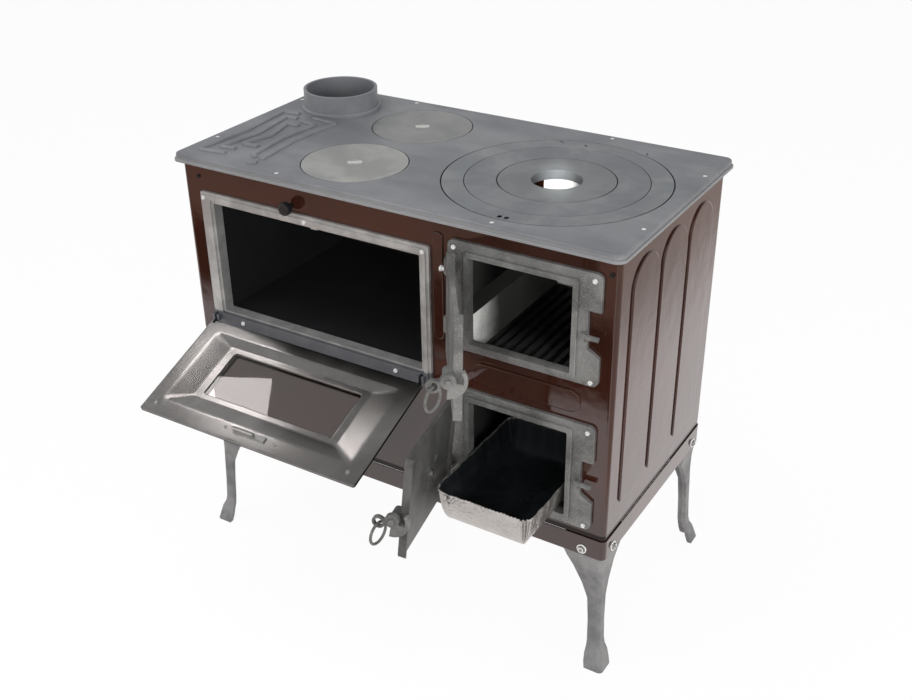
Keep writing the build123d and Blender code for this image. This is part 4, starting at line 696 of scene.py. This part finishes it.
def whiteFloor():
    # white to the camera, with the stove's shadow kept faint on it. In reflections it is warm far
    # in front, then dusky, then bright near the stove; at the right it is bright and dims further
    # out. As a light on the stove it is dim, and pale at the right
    half = floorLook["half"]
    m = newFinish("floorWhite")
    path = m.node("ShaderNodeLightPath")
    camera = m.maths("MAXIMUM", Num(m, path.outputs["Is Camera Ray"]),
                     Num(m, path.outputs["Is Transmission Ray"]))
    pale = m.maths("MAXIMUM", m.x.step(*floorLook["paleFrom"]), camera)
    plain = m.principled(colour=m.mixColour(pale, floorLook["dim"], floorLook["colour"]),
                         rough=0.8, specular=0.1)
    seen = m.mixShader(camera * floorLook["cameraShare"], plain, m.glow(white, 1.0))
    right = m.mixColour(m.x.step(*floorLook["beyondFrom"]), floorLook["bright"],
                        floorLook["beyond"])
    tone = m.mixColour(m.y.step(*floorLook["brightFrom"]), floorLook["dusk"], floorLook["bright"])
    tone = m.mixColour(m.y.step(*floorLook["duskFrom"], 1.0, 0.0), tone, floorLook["warm"])
    tone = m.mixColour(m.x.step(*floorLook["rightFrom"]), tone, right)
    mirrored = m.glow(tone, floorLook["mirrored"])
    m.surface(m.mixShader(path.outputs["Is Glossy Ray"], seen, mirrored))
    floor = flatSheet("floor", [(-half, -half, 0), (half, -half, 0), (half, half, 0),
                                (-half, half, 0)], m.owner)


def studioRoom():
    # white to the camera; as a light it is bright low down and dim overhead, so that level metal
    # stays grey
    world = bpy.data.worlds.new("studio")
    bpy.context.scene.world = world
    m = Maker(world, "Generated")
    strength = m.z.step(*room["rise"], room["walls"], room["ceiling"])
    lit = m.node("ShaderNodeBackground", {}, {"Color": white, "Strength": strength})
    direct = m.node("ShaderNodeBackground", {}, {"Color": white})
    camera = m.node("ShaderNodeLightPath").outputs["Is Camera Ray"]
    m.node("ShaderNodeOutputWorld", {},
           {0: m.mixShader(camera, lit.outputs[0], direct.outputs[0])})


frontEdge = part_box("top_plate")[0].y   # the camera was solved with y = 0 at this edge
photoView = {"place": Vector((0.95240, -1.31190 + frontEdge, 1.40178)),
             "ahead": Vector((-0.45815836, 0.73959672, -0.49303916)),
             "right": Vector((0.85356958, 0.52084346, -0.0118772)),
             "sensor": 36.0, "focalPixels": 1185.0, "widthPixels": 912.0}


def photoCamera():
    # the camera solved from the corners of the top in the photo
    data = bpy.data.cameras.new("camera")
    data.sensor_width = photoView["sensor"]
    data.lens = photoView["sensor"] * photoView["focalPixels"] / photoView["widthPixels"]
    data.clip_start, data.clip_end = 0.05, 100.0
    camera = bpy.data.objects.new("camera", data)
    place, ahead, right = photoView["place"], photoView["ahead"], photoView["right"]
    up = right.cross(ahead)
    camera.matrix_world = Matrix(((right.x, up.x, -ahead.x, place.x),
                                  (right.y, up.y, -ahead.y, place.y),
                                  (right.z, up.z, -ahead.z, place.z), (0, 0, 0, 1)))
    bpy.context.scene.collection.objects.link(camera)
    bpy.context.scene.camera = camera


paneWindow = {"seen": ((0.083, 0.141), (0.221, 0.141), (0.184, 0.075), (0.083, 0.106)),
              "paneUnder": 0.0055, "height": 2.4, "strength": 9.0, "colour": (1.0, 0.94, 0.93)}


def mirroredWindow():
    # a bright sheet that only mirror rays see: each corner is a camera ray's reflection in the
    # pane, ray - 2 (ray . out) out, followed up to a level
    origin, along, down, out = doorPlane()
    eye = photoView["place"]
    surface = origin - out * paneWindow["paneUnder"]
    corners = []
    for u, v in paneWindow["seen"]:
        ray = (origin + along * u + down * v - eye).normalized()
        hit = eye + ray * ((surface - eye).dot(out) / ray.dot(out))
        back = ray - out * (2 * ray.dot(out))
        corners.append(tuple(hit + back * ((paneWindow["height"] - hit.z) / back.z)))
    m = newFinish("windowLight")
    m.surface(m.glow(paneWindow["colour"], paneWindow["strength"]))
    sheet = flatSheet("mirroredWindow", corners, m.owner)
    sheet.visible_camera = sheet.visible_diffuse = sheet.visible_shadow = False
    sheet.visible_transmission = False


def addLamp(name, kind, place, facing, **values):
    # facing is the turn that points the lamp's -z at what it lights
    data = bpy.data.lights.new(name, kind)
    for key, value in values.items():
        setattr(data, key, value)
    lamp = bpy.data.objects.new(name, data)
    lamp.matrix_world = Matrix.Translation(place) @ facing.to_matrix().to_4x4()
    bpy.context.scene.collection.objects.link(lamp)
    return lamp


eyeLight = {"watts": 230.0, "distance": 1.6, "reach": 0.030, "blend": 0.25, "radius": 0.01}


def eyeLamp():
    # a narrow beam from the camera's side down through the open middle of the rings
    eye = Vector((*ringCentre, cookingLevel))
    towards = (photoView["place"] - eye).normalized()
    addLamp("eyeLamp", "SPOT", eye + towards * eyeLight["distance"],
            towards.to_track_quat("Z", "Y"), energy=eyeLight["watts"],
            spot_size=2 * math.atan(eyeLight["reach"] / eyeLight["distance"]),
            spot_blend=eyeLight["blend"], shadow_soft_size=eyeLight["radius"])


# place, what the lamp points at, its width and height, and its watts
softLights = {"overhead": ((-0.9, -0.6, 2.9), (0.0, 0.0, 0.5), (1.6, 1.6), 34.0),
              "frontFill": ((0.8, -3.0, 1.6), (0.0, 0.0, 0.45), (2.0, 1.4), 34.0),
              "rightFill": ((3.0, -0.2, 1.4), (0.2, 0.0, 0.5), (1.6, 1.8), 26.0),
              "fireLight": ((1.5, -1.5, 1.25), (0.17, 0.05, 0.58), (0.35, 0.35), 14.0)}


def softLamps():
    # soft rectangles that light the stove and don't show in its gloss
    for name, (place, target, (width, height), watts) in softLights.items():
        aim = (Vector(target) - Vector(place)).to_track_quat("-Z", "Y")
        lamp = addLamp(name, "AREA", place, aim, shape="RECTANGLE", size=width, size_y=height,
                       energy=watts)
        lamp.visible_glossy = False


whiteFloor()
studioRoom()
mirroredWindow()
eyeLamp()
softLamps()
photoCamera()
bpy.context.scene.view_settings.view_transform = "Standard"
print("stage: light and camera")
